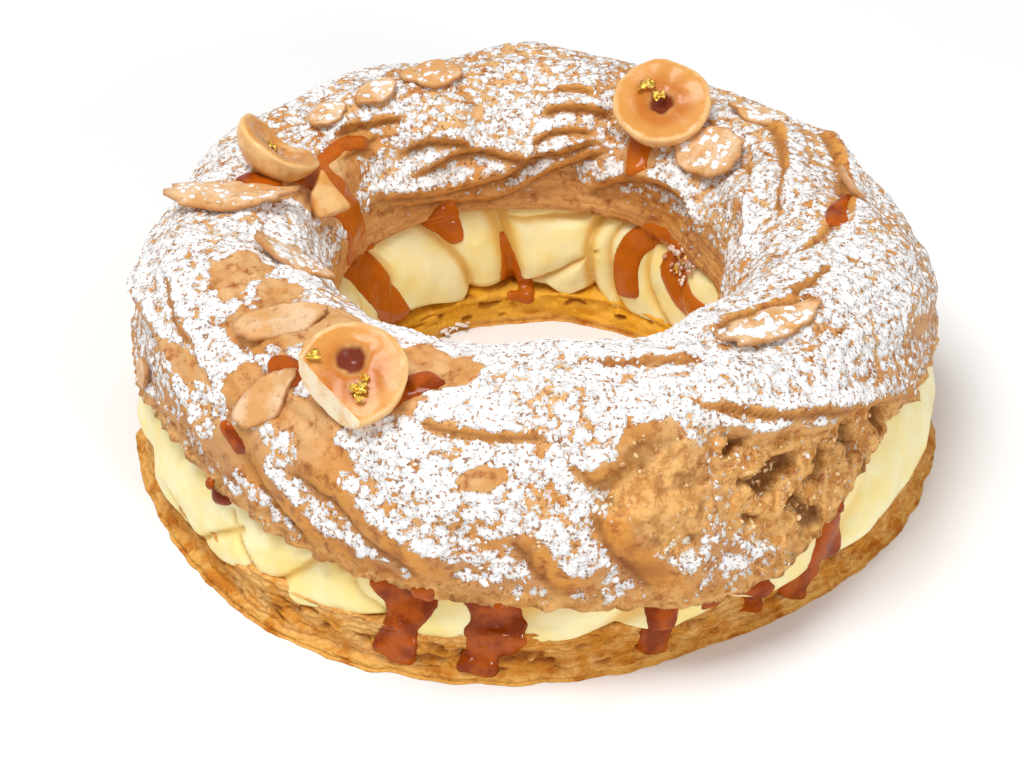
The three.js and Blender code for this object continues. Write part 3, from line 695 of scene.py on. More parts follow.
# %% Crust finish
def torn_crumb(place, streaks, pores, pit):
    """Colour of the crumb that shows where the crust is torn off, with painted shade in its bubble holes."""
    lumps = cloud(place, 1.7, 4.0, 0.65)
    crumb = blend(step_up(lumps, 0.40, 0.60), CRUMB_TAN, CRUMB_PALE)
    crumb = blend(step_up(streaks, 0.54, 0.70), crumb, CRUST_CHESTNUT)
    crumb = blend(step_up(pores, 0.60, 0.72), crumb, CRUMB_DARK_AND_PIT_SHADE)
    # painted shade: the bubble holes carved into the torn crumb are darkened almost to black
    return blend(times(pit, 0.8), crumb, CRUMB_DARK_AND_PIT_SHADE)


def crust_finish():
    """Baked crust, browned by its marks and given painted shade in its creases and grooves, with the torn
    crumb and then the sugar over it.
    """
    finish, shader, place = new_finish("sugared_crust")
    sugar, flank, crease = (attribute(shader, n) for n in ("sugar", "flank", "crease"))
    torn, pit, lip, groove_shade = (attribute(shader, n) for n in ("torn", "pit", "lip", "groove_shade"))
    plies = layers(place, 1.5)
    mottling = cloud(place, 8.0, 5.0, 0.6)
    streaks = cloud(place, 2.5, 5.0, 0.65)
    pores = cloud(place, 0.8, 4.0, 0.7)
    crust = blend(step_up(mottling, 0.36, 0.62), CRUST_TAN, CRUST_PALE)
    crust = blend(step_up(streaks, 0.50, 0.70), crust, CRUST_CHESTNUT)
    golden = blend(step_up(streaks, 0.46, 0.70), CRUST_GOLD, CRUST_CHESTNUT)
    crust = blend(calc("MAXIMUM", flank, times(lip, 0.5)), crust, golden)
    low = times(attribute(shader, "low"), step_up(mottling, 0.42, 0.6))
    crust = blend(times(low, 0.55), crust, CRUST_CHESTNUT)
    # painted shade: the grooves between the fine ribs are darkened toward chestnut, and the ply lines on the
    # lip are darkened with them
    between = times(step_up(plies, 0.70, 0.98), times(lip, 0.35))
    ply_line_and_groove_shade = calc("MAXIMUM", between, times(groove_shade, 0.5))
    crust = blend(ply_line_and_groove_shade, crust, CRUST_CHESTNUT)
    # painted shade: the crease at the foot of each fold's flank is darkened
    crust = blend(times(crease, 0.6), crust, CRUST_DARK_AND_CREASE_SHADE)
    crust = blend(step_up(pores, 0.66, 0.76), crust, CRUST_DARK_AND_CREASE_SHADE)
    crust = blend(torn, crust, torn_crumb(place, streaks, pores, pit))
    cover = sugar_cover(place, sugar)
    specks = step_up(cloud(place, 0.6, 2.0, 0.55), 0.57, 0.63)
    sugared = times(step_up(sugar, 0.35, 0.6), 0.6)
    crust = blend(times(specks, sugared), crust, CRUST_DARK_AND_CREASE_SHADE)
    bare_speck = rest_of(times(specks, 0.85))
    white = times(step_up(cover, 0.0, 0.07), bare_speck)
    sugar_colour = blend(times(torn, 0.8), SUGAR_WHITE, SUGAR_ON_CRUMB)
    dull = calc("ADD", times(white, 0.45), 0.42)
    skin = bump(pores, 0.4, 0.7)
    skin = bump(times(plies, calc("MAXIMUM", lip, torn)), -0.3, 0.4, skin)
    skin = bump(step_up(cover, -0.02, 0.3), 0.4, 0.75, skin)
    paint(shader, blend(white, crust, sugar_colour), dull, skin)
    return finish


lid.data.materials.append(crust_finish())
print("lid finish:", lid.data.materials[0].name)

# %% [markdown]
# ## The lower ring
# The bottom half is the flat side of the split ring: a thin golden sole that spreads past
# a crumb wall with layers and small holes, and a torn top under the cream.

# %% Model the base
BASE_TURNS, BASE_SIDES = 680, 100


def base_top(angle, radius):
    """Height of the base's crumb at a radius."""
    inside, outside = around(BASE_INSIDE, angle), around(BASE_OUTSIDE, angle)
    share = np.clip((radius - inside) / (outside - inside), 0, 1)
    return mix(BASE_LIP, around(BASE_RIM, angle), share)


def section_through(stops, share):
    """Point on a closed outline at a share of its way round; stops are (radius, height)."""
    count = len(stops)
    place = np.mod(share, 1.0) * count
    i = np.floor(place).astype(int) % count
    f = place - np.floor(place)
    radii = np.stack([stop[0] + 0 * share for stop in stops])
    heights = np.stack([stop[1] + 0 * share for stop in stops])
    column = np.arange(len(share))

    def rounded(table):
        four = [table[(i + step) % count, column] for step in (-1, 0, 1, 2)]
        return smooth_curve(*four, f)

    return rounded(radii), rounded(heights)


def make_base():
    """A thin sole with a rough, layered crumb wall on it."""
    bm, angle, share = rolled_bar(BASE_TURNS, BASE_SIDES)
    inside, outside = around(BASE_INSIDE, angle), around(BASE_OUTSIDE, angle)
    rim = around(BASE_RIM, angle)
    middle = (inside + outside) / 2
    stops = [
        (outside - 1.2, 0), (outside - 0.2, 0.2), (outside - 0.2, 0.9), (outside - 1.1, BASE_SKIN),
        (outside - 1.5, 0.35 * rim), (outside - 1.6, 0.6 * rim), (outside - 1.8, rim - 1),
        (outside - 3.4, base_top(angle, outside - 3.4)), (middle, base_top(angle, middle)),
        (inside + 2.2, base_top(angle, inside + 2.2)), (inside + 0.8, BASE_LIP - 1),
        (inside + 0.3, 0.4 * BASE_LIP), (inside, 0.3), (inside + 1.2, 0), (middle, 0),
    ]
    radius, height = section_through(stops, share)
    points = to_points(angle, radius, height)
    lifted = ease(0.6, 2.2, height)
    layered = points * [1, 1, 2.6]
    plied = grain(layered, 7.0, 3)
    rough = grain(points, 2.6, 4)
    holes = ease(0.34, 0.70, grain(layered + 30, 4.2, 2))
    outward = np.where(radius > middle, 1.0, -1.0)
    wavy = 0.6 * grain(points * [1, 1, 0], 7.0, 4)
    crumbly = lifted * (0.7 * plied + 0.45 * rough - 1.5 * holes)
    radius = radius + outward * (crumbly + (1 - lifted) * wavy)
    height = np.maximum(0, height + lifted * (0.35 * rough + 0.5 * plied))
    base = new_piece("choux_base_crumb", bm, to_points(angle, radius, height))
    inner = 1 - ease(-6, 0, radius - middle)
    mark(base, sole=1 - ease(0.7, 1.5, height), hole=lifted * holes, inner=inner)
    return base


base = make_base()
print("base faces:", len(base.data.polygons))

# %% Base finish
SOLE_GOLD = (0.80, 0.42, 0.09)
SOLE_BROWN = (0.52, 0.16, 0.01)
BASE_PALE = (0.86, 0.50, 0.16)
BASE_GOLD = (0.68, 0.27, 0.03)
BASE_YELLOW = (0.92, 0.46, 0.02)


def base_finish():
    """Layered crumb over a browned sole, yellower on the side of the hole, with painted shade in its small
    holes.
    """
    finish, shader, place = new_finish("golden_crumb")
    sole, hole = attribute(shader, "sole"), attribute(shader, "hole")
    patches = cloud(place, 5.0, 5.0, 0.65)
    pores = cloud(place, 0.9, 4.0, 0.7)
    crumb = blend(step_up(patches, 0.38, 0.62), BASE_GOLD, BASE_PALE)
    inner = times(attribute(shader, "inner"), 0.75)
    crumb = blend(inner, crumb, BASE_YELLOW)
    crumb = blend(step_up(pores, 0.62, 0.76), crumb, CRUST_CHESTNUT)
    # painted shade: the small holes carved into the crumb wall are darkened toward chestnut
    crumb = blend(times(hole, 0.8), crumb, CRUST_CHESTNUT)
    plies = times(layers(place, 1.1), rest_of(inner))
    crumb = blend(times(step_up(plies, 0.66, 0.95), 0.45), crumb, SOLE_BROWN)
    skin = blend(step_up(patches, 0.36, 0.56), SOLE_BROWN, SOLE_GOLD)
    rough = calc("SUBTRACT", 0.65, times(sole, 0.35))
    relief = bump(plies, -0.35, 0.7, bump(pores, 0.45, 0.7))
    paint(shader, blend(sole, crumb, skin), rough, relief)
    return finish


base.data.materials.append(base_finish())

# %% [markdown]
# ## The piped cream
# The cream is piped between the halves with a star nozzle: broad lobes with leaning ribs
# round the hole, and smaller shells with drawn-out tails round the outside. The same
# closed bar is used, with the swell of lobes and shells added to its two sides. Where a
# lobe is fullest it sags a little over the edge of the base.

# %% Where the cream swells
LOBE_CREASES = [20, 70, 104, 146, 188, 226, 264, 302, 340]
# swells are in mm, and leans in ring degrees for every 10 mm of height
LOBE_HEIGHT, LOBE_LEAN, LOBE_SWELL = 12, -4, 2.8
INNER_RIBS, INNER_RIB_SWELL, INNER_RIB_LEAN = 27, 0.9, 14
OUTER_SHELLS, OUTER_SHELL_SWELL, SHELL_LEAN = 22, 2.0, -12
SHELL_SHARE = [0.2, 0.6, 1.0, 1.0, 1.0, 1.0, 0.8, 0.9, 1.2, 1.0, 0.9, 0.35]
HOLE_ARC = math.radians(1) * 30  # mm of the hole's wall for one ring degree
PETAL_CREASES = [
    # depth, width and path of (ring angle, height) of the creases between petals in the hole
    (1.5, 1.0, [(152, 24), (143, 18.5), (141, 14), (146, 8)]),
    (2.1, 1.1, [(136, 26), (127, 20.8), (120, 16.2), (115, 11.2), (112, 5)]),
    (3.6, 1.5, [(103, 20), (101, 14.5), (99.5, 10), (98.5, 3)]),
    (1.7, 0.9, [(103, 18.2), (88, 18.6), (76, 19.5), (68, 21)]),
    (1.7, 1.0, [(98, 6), (91, 7.6), (85, 9.2), (79, 11.4), (72, 13.8)]),
    (2.5, 1.1, [(69, 23), (74, 16.4), (73.5, 11.8), (72, 7), (68, 1)]),
    (1.6, 0.9, [(61, 23), (67, 16.6), (66, 12), (64, 7.5), (60, 4.2), (53, 2.2)]),
    (1.7, 1.1, [(50, 23), (53, 18), (52, 12.5), (47, 8), (41, 5)]),
    (1.7, 1.1, [(40, 22), (40, 17), (34, 12), (24, 8)]),
]
LOWER_EDGE = [
    # ring angle, how far the cream hangs below its bed there
    (20, -1), (32, 0), (43, 2.4), (53, 2.8), (60, 3.4), (67, 2.4), (72, -0.8), (76, 0.3), (81, 2.1),
    (88, -0.7), (95, -1.3), (99, -2.4), (103, -1.5), (112, -1.2), (117, 1.8), (127, -0.2), (134, -1.2),
    (150, -1),
]
OUTER_ARC = math.radians(1) * 67  # mm of the cream's outside for one ring degree
TONGUE_CREASES = [
    # the same round the outside, between the drawn-out tails at the front left
    (1.5, 1.0, [(208, 8), (214.9, 4.5), (220, 9), (225.5, 13.6)]),
    (1.3, 0.9, [(223, 15), (225.6, 12), (228.2, 8.6)]),
    (1.6, 1.0, [(231.5, 7), (233.4, 8.9), (236, 11.6), (238.6, 15.4)]),
    (1.2, 0.9, [(243, 15), (246, 11.4), (249, 9.2)]),
    (1.2, 1.0, [(192, 16), (197, 12), (201, 7)]),
]
TONGUE_EDGE = [
    # ring angle, how far the tails hang below their bed
    (196, 1), (204, 3.2), (211.6, 4.6), (219, 3.4), (222.4, 3.6), (226, 2.2), (229.5, 0.6), (233.4, 0.4),
    (236.2, 2.4), (241, 1.9), (248.8, -0.4), (254, 0.4),
]
# ring angles where the drawn shapes begin, are full, begin to fade and end
PETALS_SPAN = (14, 26, 146, 158)
TONGUES_SPAN = (194, 202, 250, 256)
# ring angles between which creases are cut
CUT_IN_HOLE, CUT_OUTSIDE = (14, 160), (186, 256)
print("creases in the cream:", len(PETAL_CREASES) + len(TONGUE_CREASES))


# %% Lobes, shells and creases
def shell_back(count, lean, angle, height):
    """0 in the creases and 1 on the back of a leaning row of shells."""
    turn = np.radians(count * (angle + lean * height / 10))
    return np.sqrt(0.5 + 0.5 * np.cos(turn))


def lobe_back(angle, height):
    """The same for lobes of uneven width between given creases."""
    turn = np.mod(angle + LOBE_LEAN * (height - LOBE_HEIGHT) / 10, 360.0)
    back = np.zeros(np.shape(turn))
    for start, end in zip(LOBE_CREASES, LOBE_CREASES[1:] + LOBE_CREASES[:1]):
        width = (end - start) % 360
        past = np.mod(turn - start, 360.0)
        within = past < width
        back = np.where(within, np.sqrt(np.sin(np.pi * np.clip(past / width, 0, 1))), back)
    return back


def crease_depth(creases, arc, angle, height):
    """How deep a set of creases cuts into the cream, in mm."""
    depth = np.zeros(np.shape(angle))
    for deep, width, path in creases:
        offset, _ = offset_from_path(path, angle, height, arc, 1.0)
        depth = np.maximum(depth, deep * np.exp(-np.abs(offset) / width))
    return depth


# %% Model the cream
CREAM_TURNS, CREAM_SIDES = 720, 120
LOBE_SAG, CREASE_LIFT, SHELL_SAG = 2.2, 1.5, 2.0  # mm, at the foot of the cream


def cream_top(angle, radius):
    """Height of the lid's cut underside, less the gap."""
    lip, edge = lid_surface(angle, 180.0), lid_surface(angle, 0.0)
    share = np.clip((radius - lip[0]) / (edge[0] - lip[0]), 0, 1)
    return mix(lip[1], edge[1], share) - GAP


def cream_section(angle):
    """Stops of the cream's section, its middle, and its shells, tongues and petals."""
    inside, outside = around(CREAM_INSIDE, angle), around(CREAM_OUTSIDE, angle)
    outer_top = np.minimum(outside, lid_surface(angle, 0.0)[0]) - 2.5
    inner_top = np.maximum(inside, lid_surface(angle, 180.0)[0]) + 1.5
    top_out, top_in = cream_top(angle, outer_top), cream_top(angle, inner_top)
    foot_out = base_top(angle, outside - 2) + GAP
    foot_in = base_top(angle, inside + 3) + GAP
    middle = (inside + outside) / 2
    lobe_foot = lobe_back(angle, foot_in)
    turn = np.mod(angle, 360.0)
    drawn = ease_span(*PETALS_SPAN, turn)
    sag_in = LOBE_SAG * lobe_foot - CREASE_LIFT * (1 - lobe_foot)
    sag_in = mix(sag_in, np.interp(turn, *np.array(LOWER_EDGE).T), drawn)
    shell_share = around(SHELL_SHARE, angle)
    tongue = ease_span(*TONGUES_SPAN, turn)
    sag_out = SHELL_SAG * shell_share * shell_back(OUTER_SHELLS, SHELL_LEAN, angle, foot_out)
    sag_out = mix(sag_out, np.interp(turn, *np.array(TONGUE_EDGE).T), tongue)

    def outer(up, bulge):
        height = mix(foot_out - sag_out * (1 - up) ** 2, top_out, up)
        back = mix(0.8, shell_back(OUTER_SHELLS, SHELL_LEAN, angle, height), shell_share * (1 - 0.7 * tongue))
        return mix(outside, outer_top, up) - 1 + bulge * (0.6 + OUTER_SHELL_SWELL * back), height

    def inner(down, bulge):
        height = mix(top_in, foot_in - sag_in * down**3, down)
        lobe = LOBE_SWELL * mix(lobe_back(angle, height), 0.95, 0.8 * drawn)
        rib = INNER_RIB_SWELL * (1 - 0.85 * drawn) * shell_back(INNER_RIBS, INNER_RIB_LEAN, angle, height)
        return mix(inner_top, inside + 2.6, down) - bulge * (0.2 + lobe + rib), height

    def top_at(radius):
        return radius, cream_top(angle, radius)

    stops = [
        (outside - 2.6, foot_out), outer(0.02, 0.7), outer(0.16, 1.0), outer(0.3, 1.02),
        outer(0.45, 1.0), outer(0.62, 0.92), outer(0.8, 0.7), outer(0.95, 0.2),
        top_at(outer_top - 3), top_at(middle), top_at(inner_top + 2),
        inner(0.04, 0.2), inner(0.14, 0.6), inner(0.28, 0.92), inner(0.42, 1.06), inner(0.56, 1.12),
        inner(0.7, 1.1), inner(0.84, 1.0), inner(0.96, 0.8),
        (inside + 3.6, base_top(angle, inside + 3.6) + GAP), (middle, base_top(angle, middle) + GAP),
    ]
    return stops, middle, shell_share, tongue, drawn


def make_cream():
    """The section drawn round the ring, with creases cut between petals and tongues."""
    bm, angle, share = rolled_bar(CREAM_TURNS, CREAM_SIDES)
    stops, middle, shell_share, tongue, drawn = cream_section(angle)
    turn = np.mod(angle, 360.0)
    radius, height = section_through(stops, share)
    points = to_points(angle, radius, height)
    outward = np.where(radius > middle, 1.0, -1.0)
    radius = radius + outward * (0.35 * grain(points, 7.0, 2) + 0.06 * grain(points, 1.5, 2))
    hole_side = (radius < middle) & (turn > CUT_IN_HOLE[0]) & (turn < CUT_IN_HOLE[1])
    out_side = (radius > middle) & (turn > CUT_OUTSIDE[0]) & (turn < CUT_OUTSIDE[1])
    creases = np.zeros(len(angle))
    level = height + 0.25 * grain(points, 4.0, 2)
    creases[hole_side] = crease_depth(PETAL_CREASES, HOLE_ARC, turn[hole_side], level[hole_side])
    creases[out_side] = crease_depth(TONGUE_CREASES, OUTER_ARC, turn[out_side], level[out_side])
    radius = radius - outward * creases * ease(0, 4, np.abs(middle - radius))
    cream = new_piece("piped_cream", bm, to_points(angle, radius, height))
    shells = mix(0.8, shell_back(OUTER_SHELLS, SHELL_LEAN, angle, height), shell_share)
    shells = mix(shells, 1 - np.clip(creases / 1.5, 0, 1), tongue)
    petals = mix(lobe_back(angle, height), 1 - np.clip(creases / 1.7, 0, 1), drawn)
    mark(cream, swell=np.where(radius > middle, shells, petals))
    return cream


cream = make_cream()
print("cream faces:", len(cream.data.polygons))

# %% Cream finish
CREAM_PALE = (0.99, 0.89, 0.52)
CREAM_YELLOW = (0.98, 0.79, 0.30)
CREAM_CREASE_SHADE = (0.80, 0.44, 0.05)


def cream_finish():
    """Pale custard cream, with painted shade between its swells."""
    finish, shader, place = new_finish("custard_cream", rough=0.36, gloss=0.3)
    clouds = cloud(place, 6.0, 3.0, 0.5)
    colour = blend(step_up(clouds, 0.3, 0.7), CREAM_PALE, CREAM_YELLOW)
    # painted shade: the creases between the lobes, shells and petals are darkened to a deep yellow
    crease = rest_of(step_up(attribute(shader, "swell"), 0.05, 0.7))
    colour = blend(times(crease, 0.7), colour, CREAM_CREASE_SHADE)
    soften(shader, 0.2, (1.0, 0.7, 0.3), 1.5)
    silk = cloud(place, 1.6, 3.0, 0.5)
    paint(shader, colour, skin=bump(silk, 0.1, 0.5))
    return finish


cream.data.materials.append(cream_finish())

# %% [markdown]
# ## Places on the lid
# Toppings are placed by ring angle and dome angle. The helper gives the spot, the way
# round the ring, the way up the dome and the way out of the crust, with the small folds
# ignored, so a flake lies across them as a real one would.

# %% Find a place on the lid
PLACE_STEP = 6.0  # degrees to each side


def smooth_point(angle, dome):
    """One point of the lid without its folds, in mm."""
    return Vector(to_points(float(angle), *lid_surface(float(angle), float(dome))))


def lid_point(angle, dome):
    """One point of the lid's folded skin, in mm."""
    a, d = np.array([float(angle)]), np.array([float(dome)])
    relief = lid_relief(a, d, to_points(a, *lid_surface(a, d)))[0]
    return Vector(to_points(a, *lid_surface(a, d, relief))[0])


def place_on_lid(angle, dome, lift=0.0):
    """A matrix whose x runs round the ring, y up the dome and z out of the crust."""
    x = smooth_point(angle + PLACE_STEP, dome) - smooth_point(angle - PLACE_STEP, dome)
    x.normalize()
    y = smooth_point(angle, min(dome + PLACE_STEP, 180)) - smooth_point(angle, max(dome - PLACE_STEP, 0))
    z = x.cross(y).normalized()
    spot = lid_point(angle, dome)
    if (z.dot(spot) if dome < 90 else z.z) < 0:
        z.negate()
    y = z.cross(x).normalized()
    matrix = Matrix((x, y, z)).transposed().to_4x4()
    matrix.translation = spot + z * lift
    return matrix


print("crown of the lid at the front:", [round(c, 1) for c in lid_point(270, 90)])

# %% [markdown]
# ## Flaked almonds
# Each flake is a thin slice of almond, blunt at one end and pointed at the other, a
# little cupped by the oven, with a ragged edge. A flattened ball gives the slice with a
# rounded rim, and stays closed, which a cut-out sheet given a thickness would need extra
# care for.

# %% Model the flakes
FLAKE_THICKNESS = 1.3  # mm
FLAKES = [
    # ring angle, dome angle, length, width, turn, tip, lift, sugar
    (177, 90, 22, 9.5, 84, -4, 0.4, 0.5), (228, 49, 13, 6.5, 62, 6, 0.3, 0),
    (221, 84, 15, 8.0, 58, 4, 0.3, 0), (198, 118, 15, 8.0, 66, 0, 0.3, 0.8),
    (41, 125, 15, 10.5, 10, 8, 0.4, 0.62), (41, 86, 11, 7.5, 20, 0, 0.3, 0.75),
    (114, 97, 11, 8.0, -10, 0, 0.4, 0.7), (129, 102, 9.5, 5.5, 15, 5, 0.3, 0.68),
    (142, 101, 8.5, 5.5, 10, 5, 0.3, 0.68), (314, 88, 20, 7.0, -16, 0, 0.4, 0.8),
    (200, 12, 6, 5, 20, 0, 0.4, 0.2), (9, 82, 10.5, 5, 4, 40, 1.0, 0.1),
]


def make_flakes():
    """Each flake is a flattened ball, drawn to a point, made ragged, cupped and laid down."""
    bm = bmesh.new()
    rims, sugars = bm.verts.layers.float.new("rim"), bm.verts.layers.float.new("sugar")
    for number, (angle, dome, length, width, turn, tip, lift, sugar) in enumerate(FLAKES):
        ball = bmesh.ops.create_uvsphere(bm, u_segments=80, v_segments=36, radius=1.0)["verts"]
        unit = np.array([v.co for v in ball])
        rim = np.hypot(unit[:, 0], unit[:, 1])
        along, across = unit[:, 0], unit[:, 1]
        rim_place = np.stack([along, across, 0 * along], 1) / np.maximum(rim, 0.05)[:, None]
        wild = grain(rim_place * length / 2 + 31 * number, 4.0, 3)
        reach = 1 + 0.14 * wild * rim**2
        x = 0.5 * length * along * reach
        y = 0.5 * width * across * (1 - 0.35 * ease(0, 1, along)) * reach
        thick = 0.5 * FLAKE_THICKNESS * np.sign(unit[:, 2]) * np.abs(unit[:, 2]) ** 0.55
        wrinkle = 0.3 * grain(np.stack([x, y, 0 * x], 1) + 9 * number, 4.5, 2)
        z = thick + 0.05 * length * along**2 + wrinkle
        settle = Matrix.Rotation(math.radians(turn), 4, "Z") @ Matrix.Rotation(math.radians(tip), 4, "X")
        place = place_on_lid(angle, dome, lift) @ settle
        upper = sugar * ease(0.2, 0.8, unit[:, 2])
        for vert, spot, at_rim, sweet in zip(ball, zip(x, y, z), rim, upper):
            vert.co = place @ Vector(spot)
            vert[rims], vert[sugars] = at_rim, sweet
    bmesh.ops.recalc_face_normals(bm, faces=bm.faces)
    return new_piece("almond_flakes", bm)


flakes = make_flakes()
print(len(FLAKES), "flakes with", len(flakes.data.polygons), "faces")

# %% Almond finish
ALMOND_PALE = (0.82, 0.56, 0.33)
ALMOND_GOLD = (0.70, 0.36, 0.13)
ALMOND_RIM = (0.40, 0.14, 0.035)


def almond_finish():
    """Toasted almond with darker veins and rim, dusted on its upper face."""
    finish, shader, place = new_finish("toasted_almond", rough=0.42)
    toast = cloud(place, 5.0, 4.0, 0.6)
    colour = blend(step_up(toast, 0.36, 0.62), ALMOND_GOLD, ALMOND_PALE)
    veins = step_up(cloud(place, 1.3, 5.0, 0.7), 0.54, 0.68)
    colour = blend(times(veins, 0.6), colour, ALMOND_RIM)
    edge = step_up(attribute(shader, "rim"), 0.86, 1.0)
    colour = blend(times(edge, 0.6), colour, ALMOND_RIM)
    cover = sugar_cover(place, attribute(shader, "sugar"))
    white = step_up(cover, 0.0, 0.08)
    fibres = bump(cloud(place, 1.0, 4.0, 0.65), 0.3, 0.7)
    paint(shader, blend(white, colour, SUGAR_WHITE), skin=bump(white, 0.3, 0.6, fibres))
    return finish


flakes.data.materials.append(almond_finish())

# %% [markdown]
# ## Hazelnuts
# A halved kernel is a dome below and a cut face above, with the hollow of its heart in the
# middle, dark in its own colour and with painted shade deeper down. Its profile is drawn
# once as a row of corners and spun round. The near one is split again with a flat cut, and
# the left one is pressed open on one side.

# %% Kernels and where they lie
# mm; shift is how far the hollow lies from the middle
KERNEL = {"radius": 8.4, "depth": 6.6, "hollow": 3.6, "sunk": 1.4, "shift": (0.0, 0.0)}
CURLED_KERNEL = {**KERNEL, "radius": 7.5, "depth": 6.4, "hollow": 5.0, "sunk": 4.2}
SPLIT_KERNEL = {**KERNEL, "sunk": 1.8, "shift": (0.0, 2.4)}
# middle in mm, then the compass direction and the slope that the cut face looks along
FAR_PLACE = ((20.4, 32.4, 43.2), 262, 64)
LEFT_PLACE = ((-43.0, 13.0, 46.9), 8, 60)
NEAR_PLACE = ((-28.4, -52.6, 47.6), 268, 60)
CHIP_PLACE = ((-35.1, 8.4, 38.6), 300, 40)
SPLIT_TURN, SPLIT_OFFSET = 45, 4.0  # degrees, and mm from the kernel's middle
MOUTH_TURN = 73  # degrees, the way that the left kernel's broken mouth looks
MOUTH_DROP, MOUTH_PINCH = 3.4, 0.16  # mm pressed down, and share pressed in
CHIP_CORNERS = [(3.7, -1.2), (-1.6, 4.6), (-3.4, 0.4), (-2.0, -3.9)]
CHIP_REACH, CHIP_THICKNESS, CHIP_BEVEL = 5.0, 2.2, 0.55
SHARP_EDGE = math.radians(55)
# along the cut face: share of the radius and height in mm, then steps down into the hollow
RIM_PROFILE = ((0.985, 0.2), (0.93, 0.38), (0.84, 0.3), (0.7, 0.12))
HOLLOW_STEPS = (0, 0.1, 0.2, 0.3, 0.42, 0.55, 0.7, 0.85, 1)
print("kernel across:", 2 * KERNEL["radius"], "mm")


# %% Spin a kernel
def facing(centre, compass, slope):
    """A matrix whose z looks along a compass direction and a slope above level."""
    c, s = math.radians(compass), math.radians(slope)
    out = Vector((math.cos(s) * math.cos(c), math.cos(s) * math.sin(c), math.sin(s)))
    x = Vector((1, 0, 0))
    x = (x - out * x.dot(out)).normalized()
    matrix = Matrix((x, out.cross(x), out)).transposed().to_4x4()
    matrix.translation = Vector(centre)
    return matrix


def spun_kernel(radius, depth, hollow, sunk, shift):
    """A bmesh of a halved kernel, cut face up."""
    quarter = [math.pi / 2 * i / 16 for i in range(17)]
    outline = [(radius * math.sin(turn), -depth * math.cos(turn)) for turn in quarter]
    outline += [(radius * out, up) for out, up in RIM_PROFILE]
    outline += [(mix(radius * 0.7, hollow, f), 0.12 - 0.25 * f) for f in (0.33, 0.66)]
    for f in HOLLOW_STEPS:
        outline.append((hollow * (1 - f), -0.13 - sunk * (0.5 - 0.5 * math.cos(math.pi * f))))
    bm = bmesh.new()
    corners = [bm.verts.new((x, 0, z)) for x, z in outline]
    edges = [bm.edges.new(pair) for pair in zip(corners, corners[1:])]
    bmesh.ops.spin(
        bm, geom=corners + edges, cent=(0, 0, 0), axis=(0, 0, 1),
        angle=math.tau, steps=56, use_merge=True,
    )
    bmesh.ops.remove_doubles(bm, verts=bm.verts, dist=0.005)
    bmesh.ops.recalc_face_normals(bm, faces=bm.faces)
    for vert in bm.verts:
        share = 1 - float(ease(0.3, 1, math.hypot(vert.co.x, vert.co.y) / radius))
        vert.co.x += shift[0] * share
        vert.co.y += shift[1] * share
    return bm


def finish_kernel(name, bm, place, radius, seed, heart_share=1.0, heart_at=(0, 0)):
    """Roughens a kernel, marks how deep and how far out each corner is, and places it."""
    bm.normal_update()
    local = np.array([v.co for v in bm.verts])
    normals = np.array([v.normal for v in bm.verts])
    far = np.hypot(local[:, 0], local[:, 1]) / radius
    lumps = 0.34 * grain(local + 50 * seed, 5.0, 2) + 0.08 * grain(local + 50 * seed, 1.4, 2)
    from_heart = np.hypot(local[:, 0] - heart_at[0], local[:, 1] - heart_at[1]) / radius
    heart_radius = from_heart + 0.14 * grain(local + 20 * seed, 2.2, 2)
    # the heart is the kernel's dark heart, and it deepens toward the bottom of the hollow, so it also holds
    # painted shade
    heart = np.clip(-local[:, 2] / 1.1, 0, 1) * (1 - ease(0.16, 0.52, heart_radius)) * heart_share
    face = ease(-1.2, -0.2, local[:, 2]) * (1 - heart) * (heart_share > 0)
    for vert, move in zip(bm.verts, normals * lumps[:, None]):
        vert.co = place @ (vert.co + Vector(move))
    nut = new_piece(name, bm)
    nut.data.set_sharp_from_angle(angle=SHARP_EDGE)
    mark(nut, out=far, heart=heart, face=face)
    return nut


# %% Model the kernels
def make_far_kernel():
    """The whole half, laid on the crown."""
    bm = spun_kernel(**KERNEL)
    return finish_kernel("hazelnut_half_far", bm, facing(*FAR_PLACE), KERNEL["radius"], 1)


def make_left_kernel():
    """The kernel's wall is pressed down on the side of its broken mouth."""
    bm = spun_kernel(**CURLED_KERNEL)
    radius = CURLED_KERNEL["radius"]
    for vert in bm.verts:
        toward = math.atan2(vert.co.y, vert.co.x) - math.radians(MOUTH_TURN)
        mouth = max(0.0, math.cos(toward)) ** 1.8
        high = float(ease(-5.5, 0.4, vert.co.z))
        out = math.hypot(vert.co.x, vert.co.y) / radius
        vert.co.z -= MOUTH_DROP * mouth * high * min(1.0, out)
        vert.co.x *= 1 - MOUTH_PINCH * mouth * high
        vert.co.y *= 1 - MOUTH_PINCH * mouth * high
    return finish_kernel("hazelnut_half_left", bm, facing(*LEFT_PLACE), radius, 2, 0.75)


def make_near_kernel():
    """Half a kernel, split once more by an upright cut."""
    bm = spun_kernel(**SPLIT_KERNEL)
    place = facing(*NEAR_PLACE)
    turn = math.radians(SPLIT_TURN)
    keep = place.to_3x3().inverted() @ Vector((math.cos(turn), math.sin(turn), 0))
    cut = bmesh.ops.bisect_plane(
        bm, geom=bm.verts[:] + bm.edges[:] + bm.faces[:], dist=0.001,
        plane_co=-keep * SPLIT_OFFSET, plane_no=keep, clear_inner=True,
    )
    rim = [part for part in cut["geom_cut"] if isinstance(part, bmesh.types.BMEdge)]
    side = bmesh.ops.holes_fill(bm, edges=rim, sides=0)["faces"]
    for face in side:
        face.material_index = 1
    bmesh.ops.triangulate(bm, faces=side)
    bmesh.ops.recalc_face_normals(bm, faces=bm.faces)
    radius, heart_at = SPLIT_KERNEL["radius"], SPLIT_KERNEL["shift"]
    return finish_kernel("hazelnut_half_near", bm, place, radius, 3, heart_at=heart_at)


